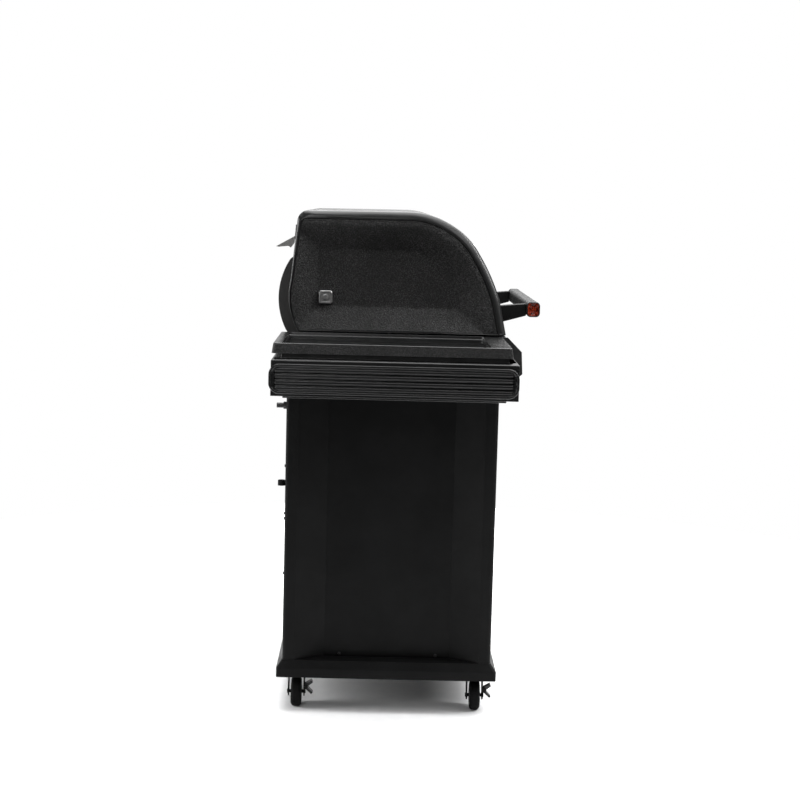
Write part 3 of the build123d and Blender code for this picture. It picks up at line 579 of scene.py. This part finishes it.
def band(rect, inset, radius, z, share_x=1.0):
    """A rounded rectangle at height z, drawn in from rect by inset, less along X if share_x is low."""
    (x0, x1), (y0, y1) = rect
    dx = inset * share_x
    radius = max(radius - inset, 0.5)
    corners = rectangle((x0 + dx, x1 - dx), (y0 + inset, y1 - inset), radius)
    return [Vector((x * MM, y * MM + CENTRE_Y, z * MM)) for x, y in corners]


# ------------------------------------------------------------------ hood ends

FRONT_LOW = (-254.8, 900)
BROW_END = (-238, 979)
BROW_MIDDLE = (-213.5, 1040)
BROW_TOP = (-189, 1083.5)
SHOULDER_MIDDLE = (-155.5, 1125.5)
CROWN_FRONT = (-119, 1151)
CROWN_MIDDLE = (-73, 1169.6)
CROWN_START = (-25, 1175)
REAR_CORNER = (203, 1173.5)
CORNER_MIDDLE = (219.5, 1166)
REAR_TOP = (227, 1149)
REAR_BEND = (240, 1015)
REAR_MIDDLE = (242.5, 962)
REAR_LOW = (222, 900)
DISH_FRONT_LOW = (-144, 957)
DISH_REAR_LOW = (178, 957)
DISH_REAR_TOP = (178, 1087)
DISH_BROW = (-42, 1087)
DISH_BROW_MIDDLE = (-112, 1042)
CAP_CENTRE = Vector((20, 1022))
RIM = 18.0
RIM_REAR_TOP = 9.0
RIM_REAR_LOW = 3.0
RIM_TAPER_LOW = 960
RIM_GAP = 2.1
RIM_ROUND = 15.0
RIM_DROP = 11.0
RIM_STEPS = 8
SHELL = 2.6
DISH_DEPTH = 20.0
SLOPE_RUN = 55.0
FIELD_DROP = 0.7
LEAST_TURN = 0.008
LEAST_ROW = 0.12
CREASE = 3.0
# Rows of the mesh: shares of the dish floor, then distances out from the floor's edge.
FLOOR_SHARES = (0.25, 0.5, 0.75)
SLOPE_ROWS = (-6, -4, -2, 0, 2, 4, 6, 13, 20, 28, 36, 43, 49, 51, 53, 55, 57, 59, 61)
# The groove inside the rim: distance out from the rim's inner edge, and depth.
GROOVE = ((-1.5, 2.6), (-0.4, 2.6), (0.4, 0.4), (1.3, 0.0))


def hood_line():
    line = [FRONT_LOW, BROW_END]
    line += arc_points(BROW_END, BROW_MIDDLE, BROW_TOP, 12)[1:]
    line += arc_points(BROW_TOP, SHOULDER_MIDDLE, CROWN_FRONT, 12)[1:]
    line += arc_points(CROWN_FRONT, CROWN_MIDDLE, CROWN_START, 12)[1:]
    line += [REAR_CORNER]
    line += arc_points(REAR_CORNER, CORNER_MIDDLE, REAR_TOP, 10)[1:]
    line += [REAR_BEND]
    line += arc_points(REAR_BEND, REAR_MIDDLE, REAR_LOW, 10)[1:]
    return [Vector(point) for point in line]


def dish_line():
    line = [DISH_FRONT_LOW, DISH_REAR_LOW, DISH_REAR_TOP, DISH_BROW]
    line += arc_points(DISH_BROW, DISH_BROW_MIDDLE, DISH_FRONT_LOW, 12)[1:-1]
    return [Vector(point) for point in line]


def outward(start, end):
    """Unit normal of an edge, pointing away from the hood end's centre."""
    along = (end - start).normalized()
    normal = Vector((along.y, -along.x))
    return normal if normal.dot((start + end) / 2 - CAP_CENTRE) > 0 else -normal


def rim_width(point):
    """The smooth rim is broad over the front and top, narrow down the rear, and absent below."""
    if point.y < FRONT_LOW[1] + 5 and point.x > FRONT_LOW[0] + 1:
        return RIM_GAP
    rear_top = REAR_TOP[1]
    if point.x > REAR_LOW[0] - 7 and point.y <= rear_top:
        share = max(0.0, (point.y - RIM_TAPER_LOW) / (rear_top - RIM_TAPER_LOW))
        return RIM_REAR_LOW + (RIM_REAR_TOP - RIM_REAR_LOW) * share
    if point.x > REAR_CORNER[0]:
        rise = point.y - rear_top
        return RIM_REAR_TOP + (RIM - RIM_REAR_TOP) * rise / (REAR_CORNER[1] - rear_top)
    return RIM


def edges_of(line):
    return list(zip(line, line[1:] + line[:1]))


def ray_length(direction, segments, pick):
    """Distance from the end's centre to the nearest or farthest of some segments."""
    hits = []
    for start, end in segments:
        along = end - start
        cross = direction.x * along.y - direction.y * along.x
        if abs(cross) < 1e-9:
            continue
        gap = start - CAP_CENTRE
        share = (gap.x * direction.y - gap.y * direction.x) / cross
        length = (gap.x * along.y - gap.y * along.x) / cross
        if -1e-6 <= share <= 1 + 1e-6 and length > 0:
            hits.append(length)
    return pick(hits)


def rounded_step(distance, reach):
    """Zero below, the distance itself above, and a smooth turn of half-width reach between."""
    if distance <= -reach:
        return 0.0
    if distance >= reach:
        return distance
    return (distance + reach) ** 2 / (4 * reach)


def subdivided(line, pitch):
    points = []
    for start, end in edges_of(line):
        count = max(1, round((end - start).length / pitch))
        points += [start.lerp(end, i / count) for i in range(count)]
    return points


class HoodEnd:
    """The pressed end: each ray from its centre gives one radial strip of the mesh."""

    def __init__(self):
        self.outline = edges_of(hood_line())
        self.walls = [(start, outward(start, end)) for start, end in edges_of(dish_line())]
        inner_line = []
        for start, end in self.outline:
            inward = -outward(start, end)
            usual = rim_width((start + end) / 2)
            for point in (start, end):
                width = min(rim_width(point), usual) if usual == RIM_GAP else rim_width(point)
                inner_line.append(point + inward * width)
        self.border = edges_of(inner_line)

    def beyond_dish(self, point):
        """How far a point lies outside the sunken floor, measured square to its nearest wall."""
        return max((point - start).dot(normal) for start, normal in self.walls)

    def dish_reach(self, direction, distance):
        reaches = []
        for start, normal in self.walls:
            slope = direction.dot(normal)
            if slope > 1e-6:
                reaches.append((distance - (CAP_CENTRE - start).dot(normal)) / slope)
        return min(reaches)

    def depth(self, point):
        away = self.beyond_dish(point)
        rise = rounded_step(away, CREASE) - rounded_step(away - SLOPE_RUN, CREASE)
        return DISH_DEPTH * (1 - rise / SLOPE_RUN)

    def strip(self, direction):
        """(distance from the centre, depth below the rim) from the centre out to the outline."""
        outer = ray_length(direction, self.outline, max)
        border = ray_length(direction, self.border, min)
        field_end = border - RIM_GAP
        floor = self.dish_reach(direction, 0)
        reaches = [floor * share for share in FLOOR_SHARES]
        reaches += [self.dish_reach(direction, distance) for distance in SLOPE_ROWS]
        count = len(reaches)
        reaches = [min(r, field_end - LEAST_ROW * (count - i)) for i, r in enumerate(reaches)]
        reaches += [field_end]
        rows = [(r, self.depth(CAP_CENTRE + direction * r) + FIELD_DROP) for r in reaches]
        rows += [(border + out, depth) for out, depth in GROOVE]
        reach = max(0.05, min(RIM_ROUND, outer - border - 1.6))
        drop = RIM_DROP * reach / RIM_ROUND
        for i in range(RIM_STEPS + 1):
            angle = math.pi / 2 * i / RIM_STEPS
            fall = 0.55 * (1 - math.cos(angle)) + 0.45 * math.sin(angle)
            rows.append((outer - reach * (1 - math.sin(angle)), drop * fall))
        return rows, outer

    def rings(self, outer_x, inner_x):
        corners = [start for start, _ in self.outline] + dish_line()
        angles = []
        for point in corners + subdivided(hood_line(), 5.0):
            angle = math.atan2(*(point - CAP_CENTRE).yx)
            if all(abs(angle - other) > LEAST_TURN for other in angles):
                angles.append(angle)
        angles.sort()
        columns = []
        for angle in angles:
            direction = Vector((math.cos(angle), math.sin(angle)))
            rows, outer = self.strip(direction)
            face = [(r, outer_x + depth * MM) for r, depth in rows]
            wall = [(outer, inner_x - 0.6 * MM), (outer - 0.4, inner_x - 0.2 * MM)]
            wall += [(outer - SHELL, inner_x)]
            back = [(min(r, outer - SHELL), x + SHELL * MM) for r, x in reversed(face)]
            columns.append([self.placed(direction, r, x) for r, x in face + wall + back])
        return list(zip(*columns))

    def placed(self, direction, distance, x):
        """The point at a distance from the end's centre, at a place x across the grill."""
        y = CAP_CENTRE.x + direction.x * distance
        z = CAP_CENTRE.y + direction.y * distance
        return Vector((x, y * MM + CENTRE_Y, z * MM))


def add_hood_ends():
    low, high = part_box("hood_cap_left")
    rings = HoodEnd().rings(low.x, high.x)
    textured = len(FLOOR_SHARES) + len(SLOPE_ROWS) + 1
    bm = bmesh.new()
    rows = skin(bm, rings)
    bm.faces.ensure_lookup_table()
    across = len(rings[0])
    for i, face in enumerate(bm.faces):
        face.material_index = 1 if i // across < textured else 0
    lid(bm, rows[0], 1)
    lid(bm, rows[-1])
    looks = [FINISH["gloss_black"], FINISH["textured_black"]]
    left = finished("hood_end_left", bm, "hood", SLOT_OF["hood_cap_left"], looks, ("hood_cap_left",))
    mirrored_piece(left, "hood_end_right", "hood", SLOT_OF["hood_cap_right"], ("hood_cap_right",))


# ------------------------------------------------------------------ handle

BAR_ROUND = 9
TRIM_LENGTH = 9
INSERT_WALL = 2.2
INSERT_SINK = 6
# Rings of the insert: share of the opening, and how deep its valleys and its ridges lie.
FACETS = ((0.93, 1.4, 1.4), (0.62, 4.6, 1.9), (0.3, 3.2, 4.6), (0.14, 2.6, 2.6))


def section_ring(x, centre, width, height, radius, steps=6):
    half_y, half_z = width / 2, height / 2
    corners = rectangle((-half_y, half_y), (-half_z, half_z), radius, steps)
    return [Vector((x, centre.y + u, centre.z + v)) for u, v in corners]


def add_handle():
    low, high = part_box("handle_bar")
    centre, size = (low + high) / 2, high - low
    _, end_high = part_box("handle_ends")
    bm = bmesh.new()
    wall = INSERT_WALL * MM
    half = end_high.x - 0.5 * MM
    radius = BAR_ROUND * MM
    trim = half - TRIM_LENGTH * MM
    seam = trim - 0.3 * MM
    shy = 0.5 * MM
    caps = [(half - INSERT_SINK * MM, wall), (half - shy, wall), (half, wall * 0.6), (half, wall * 0.35)]
    caps += [(half - 0.6 * MM, 0), (trim, 0), (seam, shy)]
    tube = [(seam, shy), (trim - 30 * MM, shy)]
    for side in (LEFT, RIGHT):
        rings = [
            section_ring(side * x, centre, size.y - 2 * inset, size.z - 2 * inset, radius - inset)
            for x, inset in caps
        ]
        rows = skin(bm, rings, material=1)
        lid(bm, rows[0], 1)
        lid(bm, rows[-1], 1)
    rings = [
        section_ring(side * x, centre, size.y - 2 * inset, size.z - 2 * inset, radius - inset)
        for side, order in ((LEFT, tube), (RIGHT, tube[::-1]))
        for x, inset in order
    ]
    rows = skin(bm, rings)
    lid(bm, rows[0])
    lid(bm, rows[-1])
    looks = [FINISH["handle_enamel"], FINISH["gloss_black"]]
    finished("handle_tube", bm, "hood", SLOT_OF["handle_bar"], looks, ("handle_bar",))
    for side in (LEFT, RIGHT):
        add_insert(side, centre, size, half, wall)


def add_insert(side, centre, size, half, wall):
    """Faceted insert: a valley across, ridges to the corners, and a small raised middle."""
    bm = bmesh.new()
    width, height = size.y - 2 * wall, size.z - 2 * wall
    outer = section_ring(side * (half - 1.2 * MM), centre, width, height, 7 * MM, 3)
    floor = Vector((side * (half - INSERT_SINK * MM), centre.y, centre.z))
    rings = [outer]
    for share, valley_drop, ridge_drop in FACETS:
        ring = []
        for i, point in enumerate(outer):
            drop = ridge_drop if i % 4 in (1, 2) else valley_drop
            spot = floor.lerp(point, share)
            ring.append(Vector((side * (half - drop * MM), spot.y, spot.z)))
        rings.append(ring)
    rings.insert(0, [Vector((side * (half - 5 * MM), p.y, p.z)) for p in outer])
    rows = skin(bm, rings)
    lid(bm, rows[-1])
    lid(bm, rows[0])
    name = f"handle_insert_{'left' if side < 0 else 'right'}"
    replaced = ("handle_ends",) if side < 0 else ()
    finished(name, bm, "hood", SLOT_OF["handle_ends"], replaced=replaced, sharp=math.radians(8))


def add_lip_ends():
    """Folded tabs that close both ends of the smoke deflector."""
    _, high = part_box("hood_lip")
    upper = [(232, 1112, 0), (240, 1108, 3), (273, 1090, 1)]
    lower = [(271, 1088.5, 1), (247, 1091, 3), (242, 1087, 1), (234, 1098, 1)]
    outline = rounded_path(upper + lower, 3, closed=True)
    bm = bmesh.new()
    for side in (LEFT, RIGHT):
        rings = [
            [Vector((side * (high.x - depth * MM), y * MM + CENTRE_Y, z * MM)) for y, z in outline]
            for depth in (0.1, 1.6)
        ]
        rows = skin(bm, rings)
        lid(bm, rows[0])
        lid(bm, rows[-1])
    finished("hood_lip_ends", bm, "hood", SLOT_OF["hood_lip"])


# ------------------------------------------------------------------ side shelves

TRAY_FOOT = 875
TRAY_TOP = 897
TRAY_DECK = 880
TRAY_X, TRAY_Y = (-640, -352), (-250, 262)
RECESS_X, RECESS_Y = (-636, -357), (-203, 240)
TRAY_CORNER = 9
RECESS_CORNER = 5
LIP_ROUND = 2.6


def lip_path(lean):
    """(inset, height) from the foot up the lip's outside, which leans in, and onto its top."""
    corners = [(0, TRAY_FOOT, 0), (lean, TRAY_TOP, LIP_ROUND), (lean + LIP_ROUND, TRAY_TOP, 0)]
    return rounded_path(corners, 5)


def add_shelves():
    """Pressed trays, whose lip is upright along both sides and leans in at the front and rear."""
    deck, recess = (TRAY_X, TRAY_Y), (RECESS_X, RECESS_Y)
    under = ((2.2, 877.5, 0.7), (2.2, 875.4, 0.7), (1.6, 874.9, 0.6))
    rings = [band(deck, inset, TRAY_CORNER, z, share) for inset, z, share in under]
    for (near, z), (far, _) in zip(lip_path(0.3), lip_path(3.6)):
        inset = far + 0.01
        rings.append(band(deck, inset, TRAY_CORNER, z, near / inset))
    step = [(-0.9, TRAY_TOP, 0), (0, TRAY_TOP, 0.9), (0.8, 891, 0.8), (2.8, 889.6, 1.0)]
    step += [(3.8, TRAY_DECK, 2.0), (12, TRAY_DECK, 0)]
    rings += [band(recess, inset, RECESS_CORNER, z) for inset, z in rounded_path(step, 4)]
    bm = bmesh.new()
    rows = skin(bm, rings)
    wall_rows, lip_rows = 4, len(rings) - 6
    for i, face in enumerate(bm.faces):
        row = i // len(rings[0])
        face.material_index = 0 if row < wall_rows else 1 if row < lip_rows else 2
    lid(bm, rows[0])
    lid(bm, rows[-1], 2)
    looks = [FINE_BLACK, SLEEK_BLACK, FINISH["satin_black"]]
    node, other = "shelf_tray_left", "shelf_tray_right"
    left = finished("shelf_deck_left", bm, "body", SLOT_OF[node], looks, (node,))
    weigh_normals(left)
    weigh_normals(mirrored_piece(left, "shelf_deck_right", "body", SLOT_OF[other], (other,)))


# ------------------------------------------------------------------ casters


def add_wheels():
    for end in ("front", "rear"):
        for side in ("left", "right"):
            node = f"wheel_{end}_{side}"
            low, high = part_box(node)
            add_wheel(node, middle(node), (high.z - low.z) / 2, (high.y - low.y) / 2)


def add_wheel(node, centre, radius, half):
    """Rubber tread over a plastic hub, whose web carries shallow spokes."""
    hub = 0.66 * radius
    rim, web, tread_half = half * 0.86, half * 0.62, half * 0.66
    shoulder = radius * 0.84
    outer = [(hub, rim, 0), (shoulder, half, 4 * MM), (radius, tread_half, 5 * MM)]
    tread = rounded_path(outer + [(r, -h, turn) for r, h, turn in reversed(outer)], 4)
    bm = bmesh.new()
    skin(bm, turned(tread, centre, (0, 1, 0), 64) + turned(tread[:1], centre, (0, 1, 0), 64))
    face = [(4.1 * MM, half), (8 * MM, half), (8.6 * MM, half * 0.72), (10 * MM, web)]
    face += [(hub - 3 * MM, web), (hub - 1.4 * MM, half * 0.8), (hub, rim)]
    profile = face + [(r, -h) for r, h in reversed(face)] + face[:1]
    rings = turned(profile, centre, (0, 1, 0), 64)
    spokes = 8
    for ring, (r, h) in zip(rings, profile):
        if abs(abs(h) - web) > 0.1 * MM:
            continue
        for i, point in enumerate(ring):
            lift = max(0.0, math.cos(2 * math.pi * i * spokes / len(ring))) ** 2
            point.y += math.copysign(lift * half * 0.2, h)
    skin(bm, rings, material=1)
    looks = [FINISH["rubber"], FINISH["black_plastic"]]
    finished(f"{node}_shown", bm, body_of(node), SLOT_OF[node], looks, (node,), math.radians(50))


# ------------------------------------------------------------------ knobs and thermometer

FLAME_DOTS = 9
DOT_RING = 26.5 * MM


def add_knob_marks():
    """A pointer line on each knob, and dots on its bezel that grow with the flame."""
    for place in ("left", "middle", "right"):
        node = f"knob_{place}"
        low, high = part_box(node)
        centre = middle(node)
        bm = bmesh.new()
        half = Vector((0.9 * MM, 0.4 * MM, 6 * MM))
        spot = Vector((centre.x, low.y + 0.25 * MM, high.z - 8 * MM))
        corners = rectangle((-half.x, half.x), (-half.z, half.z), 0.8 * MM, 4)
        rings = [
            [spot + Vector((u * s, y, v * s)) for u, v in corners]
            for s, y in ((1, half.y), (1, -0.15 * MM), (0.9, -0.3 * MM))
        ]
        rows = skin(bm, rings)
        lid(bm, rows[-1])
        lid(bm, rows[0])
        finished(f"knob_pointer_{place}", bm, body_of(node), SLOT_OF[node], [DIAL_WHITE])
        add_flame_dots(place, centre)


def add_flame_dots(place, centre):
    front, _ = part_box("knob_bezels")
    bm = bmesh.new()
    for i in range(FLAME_DOTS):
        angle = math.radians(90 - 25 * i)
        size = (0.7 + 0.12 * i) * MM
        x, z = centre.x + DOT_RING * math.cos(angle), centre.z + DOT_RING * math.sin(angle)
        profile = [(size, -0.2 * MM), (size, 0.12 * MM), (size * 0.8, 0.2 * MM)]
        rows = skin(bm, turned(profile, (x, front.y, z), (0, -1, 0), 16))
        lid(bm, rows[-1])
        lid(bm, rows[0])
    finished(f"flame_dots_{place}", bm, "body", SLOT_OF["knob_bezels"], [DIAL_WHITE])


DIAL_NORMAL = Vector((0, -0.885, 0.466)).normalized()
DIAL_RIGHT = Vector((1, 0, 0))
DIAL_UP = DIAL_NORMAL.cross(DIAL_RIGHT)
DIAL_CENTRE = Vector((0, CENTRE_Y - 203 * MM, 1062 * MM))
FACE_RADIUS = 31.8
GLASS_RADIUS = 31.6
FIRST_TICK = 225
SCALE_TURN = 270


def dial_matrix(height):
    """A matrix whose XY plane lies in the dial, at a height above the hood."""
    axes = Matrix((DIAL_RIGHT, DIAL_UP, DIAL_NORMAL)).transposed().to_4x4()
    return Matrix.Translation(DIAL_CENTRE + DIAL_NORMAL * height) @ axes


def add_thermometer_face():
    plate = ((FACE_RADIUS, 3.02), (FACE_RADIUS, 3.3), (FACE_RADIUS - 0.8, 3.4))
    profile = [(radius * MM, height * MM) for radius, height in plate]
    bm = bmesh.new()
    rows = skin(bm, turned(profile, DIAL_CENTRE, DIAL_NORMAL))
    lid(bm, rows[-1])
    lid(bm, rows[0])
    finished("thermometer_dial", bm, "hood", SLOT_OF["thermometer_case"], [DIAL_WHITE])
    add_dial_ticks()
    add_dial_numbers()
    dome = [(GLASS_RADIUS * MM, 5.6 * MM)]
    for i in range(7):
        share = 1 - i / 6.5
        dome.append((GLASS_RADIUS * MM * share, (6.2 + 1.2 * (1 - share * share)) * MM))
    bm = bmesh.new()
    rows = skin(bm, turned(dome, DIAL_CENTRE, DIAL_NORMAL))
    lid(bm, rows[-1])
    lid(bm, rows[0])
    finished("thermometer_glass", bm, "hood", SLOT_OF["thermometer_case"], [CLEAR])


def add_dial_ticks():
    bm = bmesh.new()
    ticks = 30
    for i in range(ticks + 1):
        angle = math.radians(FIRST_TICK - SCALE_TURN * i / ticks)
        long_one = i % 5 == 0
        outer, inner = 29.5, 24.5 if long_one else 27
        half = 0.5 if long_one else 0.25
        along = Vector((math.cos(angle), math.sin(angle)))
        side = Vector((-along.y, along.x)) * half
        corners = [along * inner - side, along * outer - side]
        corners += [along * outer + side, along * inner + side]
        flat = [Vector((corner.x * MM, corner.y * MM, 0)) for corner in corners]
        rings = [[dial_matrix(z * MM) @ corner for corner in flat] for z in (3.35, 3.5)]
        rows = skin(bm, rings)
        lid(bm, rows[-1])
        lid(bm, rows[0])
    finished("thermometer_ticks", bm, "hood", SLOT_OF["thermometer_case"], [DIAL_INK])


def add_dial_numbers():
    for step in range(1, 7):
        angle = math.radians(FIRST_TICK - SCALE_TURN / 6 * step)
        data = bpy.data.curves.new(f"dial_number_{step}", "FONT")
        data.body = str(50 * step)
        data.align_x, data.align_y = "CENTER", "CENTER"
        data.size = 6.2 * MM
        data.extrude = 0.06 * MM
        text = bpy.data.objects.new(f"dial_number_{step}", data)
        bpy.context.scene.collection.objects.link(text)
        reach = 19.5 * MM
        place = Matrix.Translation((reach * math.cos(angle), reach * math.sin(angle), 0))
        text.matrix_world = dial_matrix(3.45 * MM) @ place
        data.materials.append(DIAL_INK)
        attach(text, "hood")


# ------------------------------------------------------------------ screws

BASE_SCREW_X, BASE_SCREW_Y, BASE_SCREW_Z = 300, (-116, 112), 131
BACK_SCREW_X, BACK_SCREW_Z = 325, (329, 459, 471, 583)
CASTER_TRAIL = 22
PLATE_SCREWS = (-23, 23)
PLATE_SCREW_Z = 83


def screw_head(bm, place, axis, radius, height):
    """Pan head with a cross recess."""
    profile = [(radius, 0), (radius, height * 0.35), (radius * 0.93, height * 0.7)]
    for share in (0.78, 0.6, 0.46, 0.34, 0.22):
        profile.append((radius * share, height * (1 - 0.25 * share**3)))
    rings = turned(profile, place, axis, 32)
    sunk = Vector(axis) * (-0.45 * height)
    for ring, (r, _) in zip(rings, profile):
        if r > radius * 0.5:
            continue
        for i, point in enumerate(ring):
            from_arm = abs(((360 * i / len(ring) + 45) % 90) - 45)
            if r * math.sin(math.radians(from_arm)) < 0.13 * radius:
                ring[i] = point + sunk
    rows = skin(bm, rings)
    lid(bm, rows[-1])
    lid(bm, rows[0])


def add_screws():
    """Heads on the cabinet's foot, along the back panel and under each caster's plate."""
    _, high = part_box("screws")
    bm = bmesh.new()
    for side in (LEFT, RIGHT):
        for y in BASE_SCREW_Y:
            spot = (side * BASE_SCREW_X * MM, y * MM + CENTRE_Y, BASE_SCREW_Z * MM)
            screw_head(bm, spot, (side, 0, 0), 4 * MM, 2.4 * MM)
        for z in BACK_SCREW_Z:
            spot = (side * BACK_SCREW_X * MM, high.y - 3 * MM, z * MM)
            screw_head(bm, spot, (0, 1, 0), 3.5 * MM, 2.6 * MM)
    for node in ("wheel_front_left", "wheel_front_right", "wheel_rear_left", "wheel_rear_right"):
        centre = middle(node) + Vector((CASTER_TRAIL * MM, 0, 0))
        for dx in PLATE_SCREWS:
            for dy in PLATE_SCREWS:
                spot = (centre.x + dx * MM, centre.y + dy * MM, PLATE_SCREW_Z * MM)
                screw_head(bm, spot, (0, 0, -1), 4 * MM, 2 * MM)
    finished("screw_heads", bm, "body", SLOT_OF["screws"], replaced=("screws",))


# ------------------------------------------------------------------ the whole grill

# Width in millimetres of the rounding that each frame node's sharp edges get.
EDGE_WIDTH = {
    "base_pan": 1.2,
    "cabinet_back": 0.5,
    "cabinet_side_left": 0.6,
    "cabinet_side_right": 0.6,
    "support_frame": 0.6,
    "panel_ends": 1.6,
    "handle_arms": 2.0,
    "cooking_grates": 1.4,
    "door_left": 0.7,
    "door_right": 0.7,
    "hinge_covers": 0.7,
}
USUAL_EDGE = 0.45


def main():
    add_camera()
    add_world(shown=1.0, cast=0.07)
    add_floor(radius=2.3)
    for light in LIGHTS:
        add_area_light(*light)
    add_hood_ends()
    add_handle()
    add_lip_ends()
    add_shelves()
    add_wheels()
    add_screws()
    add_knob_marks()
    add_thermometer_face()
    shaped = {"hood_cap_left", "hood_cap_right", "handle_bar", "handle_ends", "shelf_tray_left"}
    shaped |= {"shelf_tray_right", "screws"} | {n for n in NODES if n.startswith("wheel_")}
    sleek = {"accessory_rails", "shelf_frame_left", "shelf_frame_right"}
    for node in sorted(set(NODES) - shaped - sleek):
        look = FINISH["satin_black"] if node == "handle_arms" else None
        softened(node, EDGE_WIDTH.get(node, USUAL_EDGE) * MM, look=look)
    softened("accessory_rails", 1.8 * MM, 4, SLEEK_BLACK, clamp=False)
    for side in ("left", "right"):
        softened(f"shelf_frame_{side}", 1.2 * MM, 3, SLEEK_BLACK, clamp=False)
    for node in shaped:
        NODES[node].data.materials.clear()
        NODES[node].data.materials.append(FINISH[SLOT_OF[node]])
    bpy.context.scene.view_settings.view_transform = "Standard"


main()
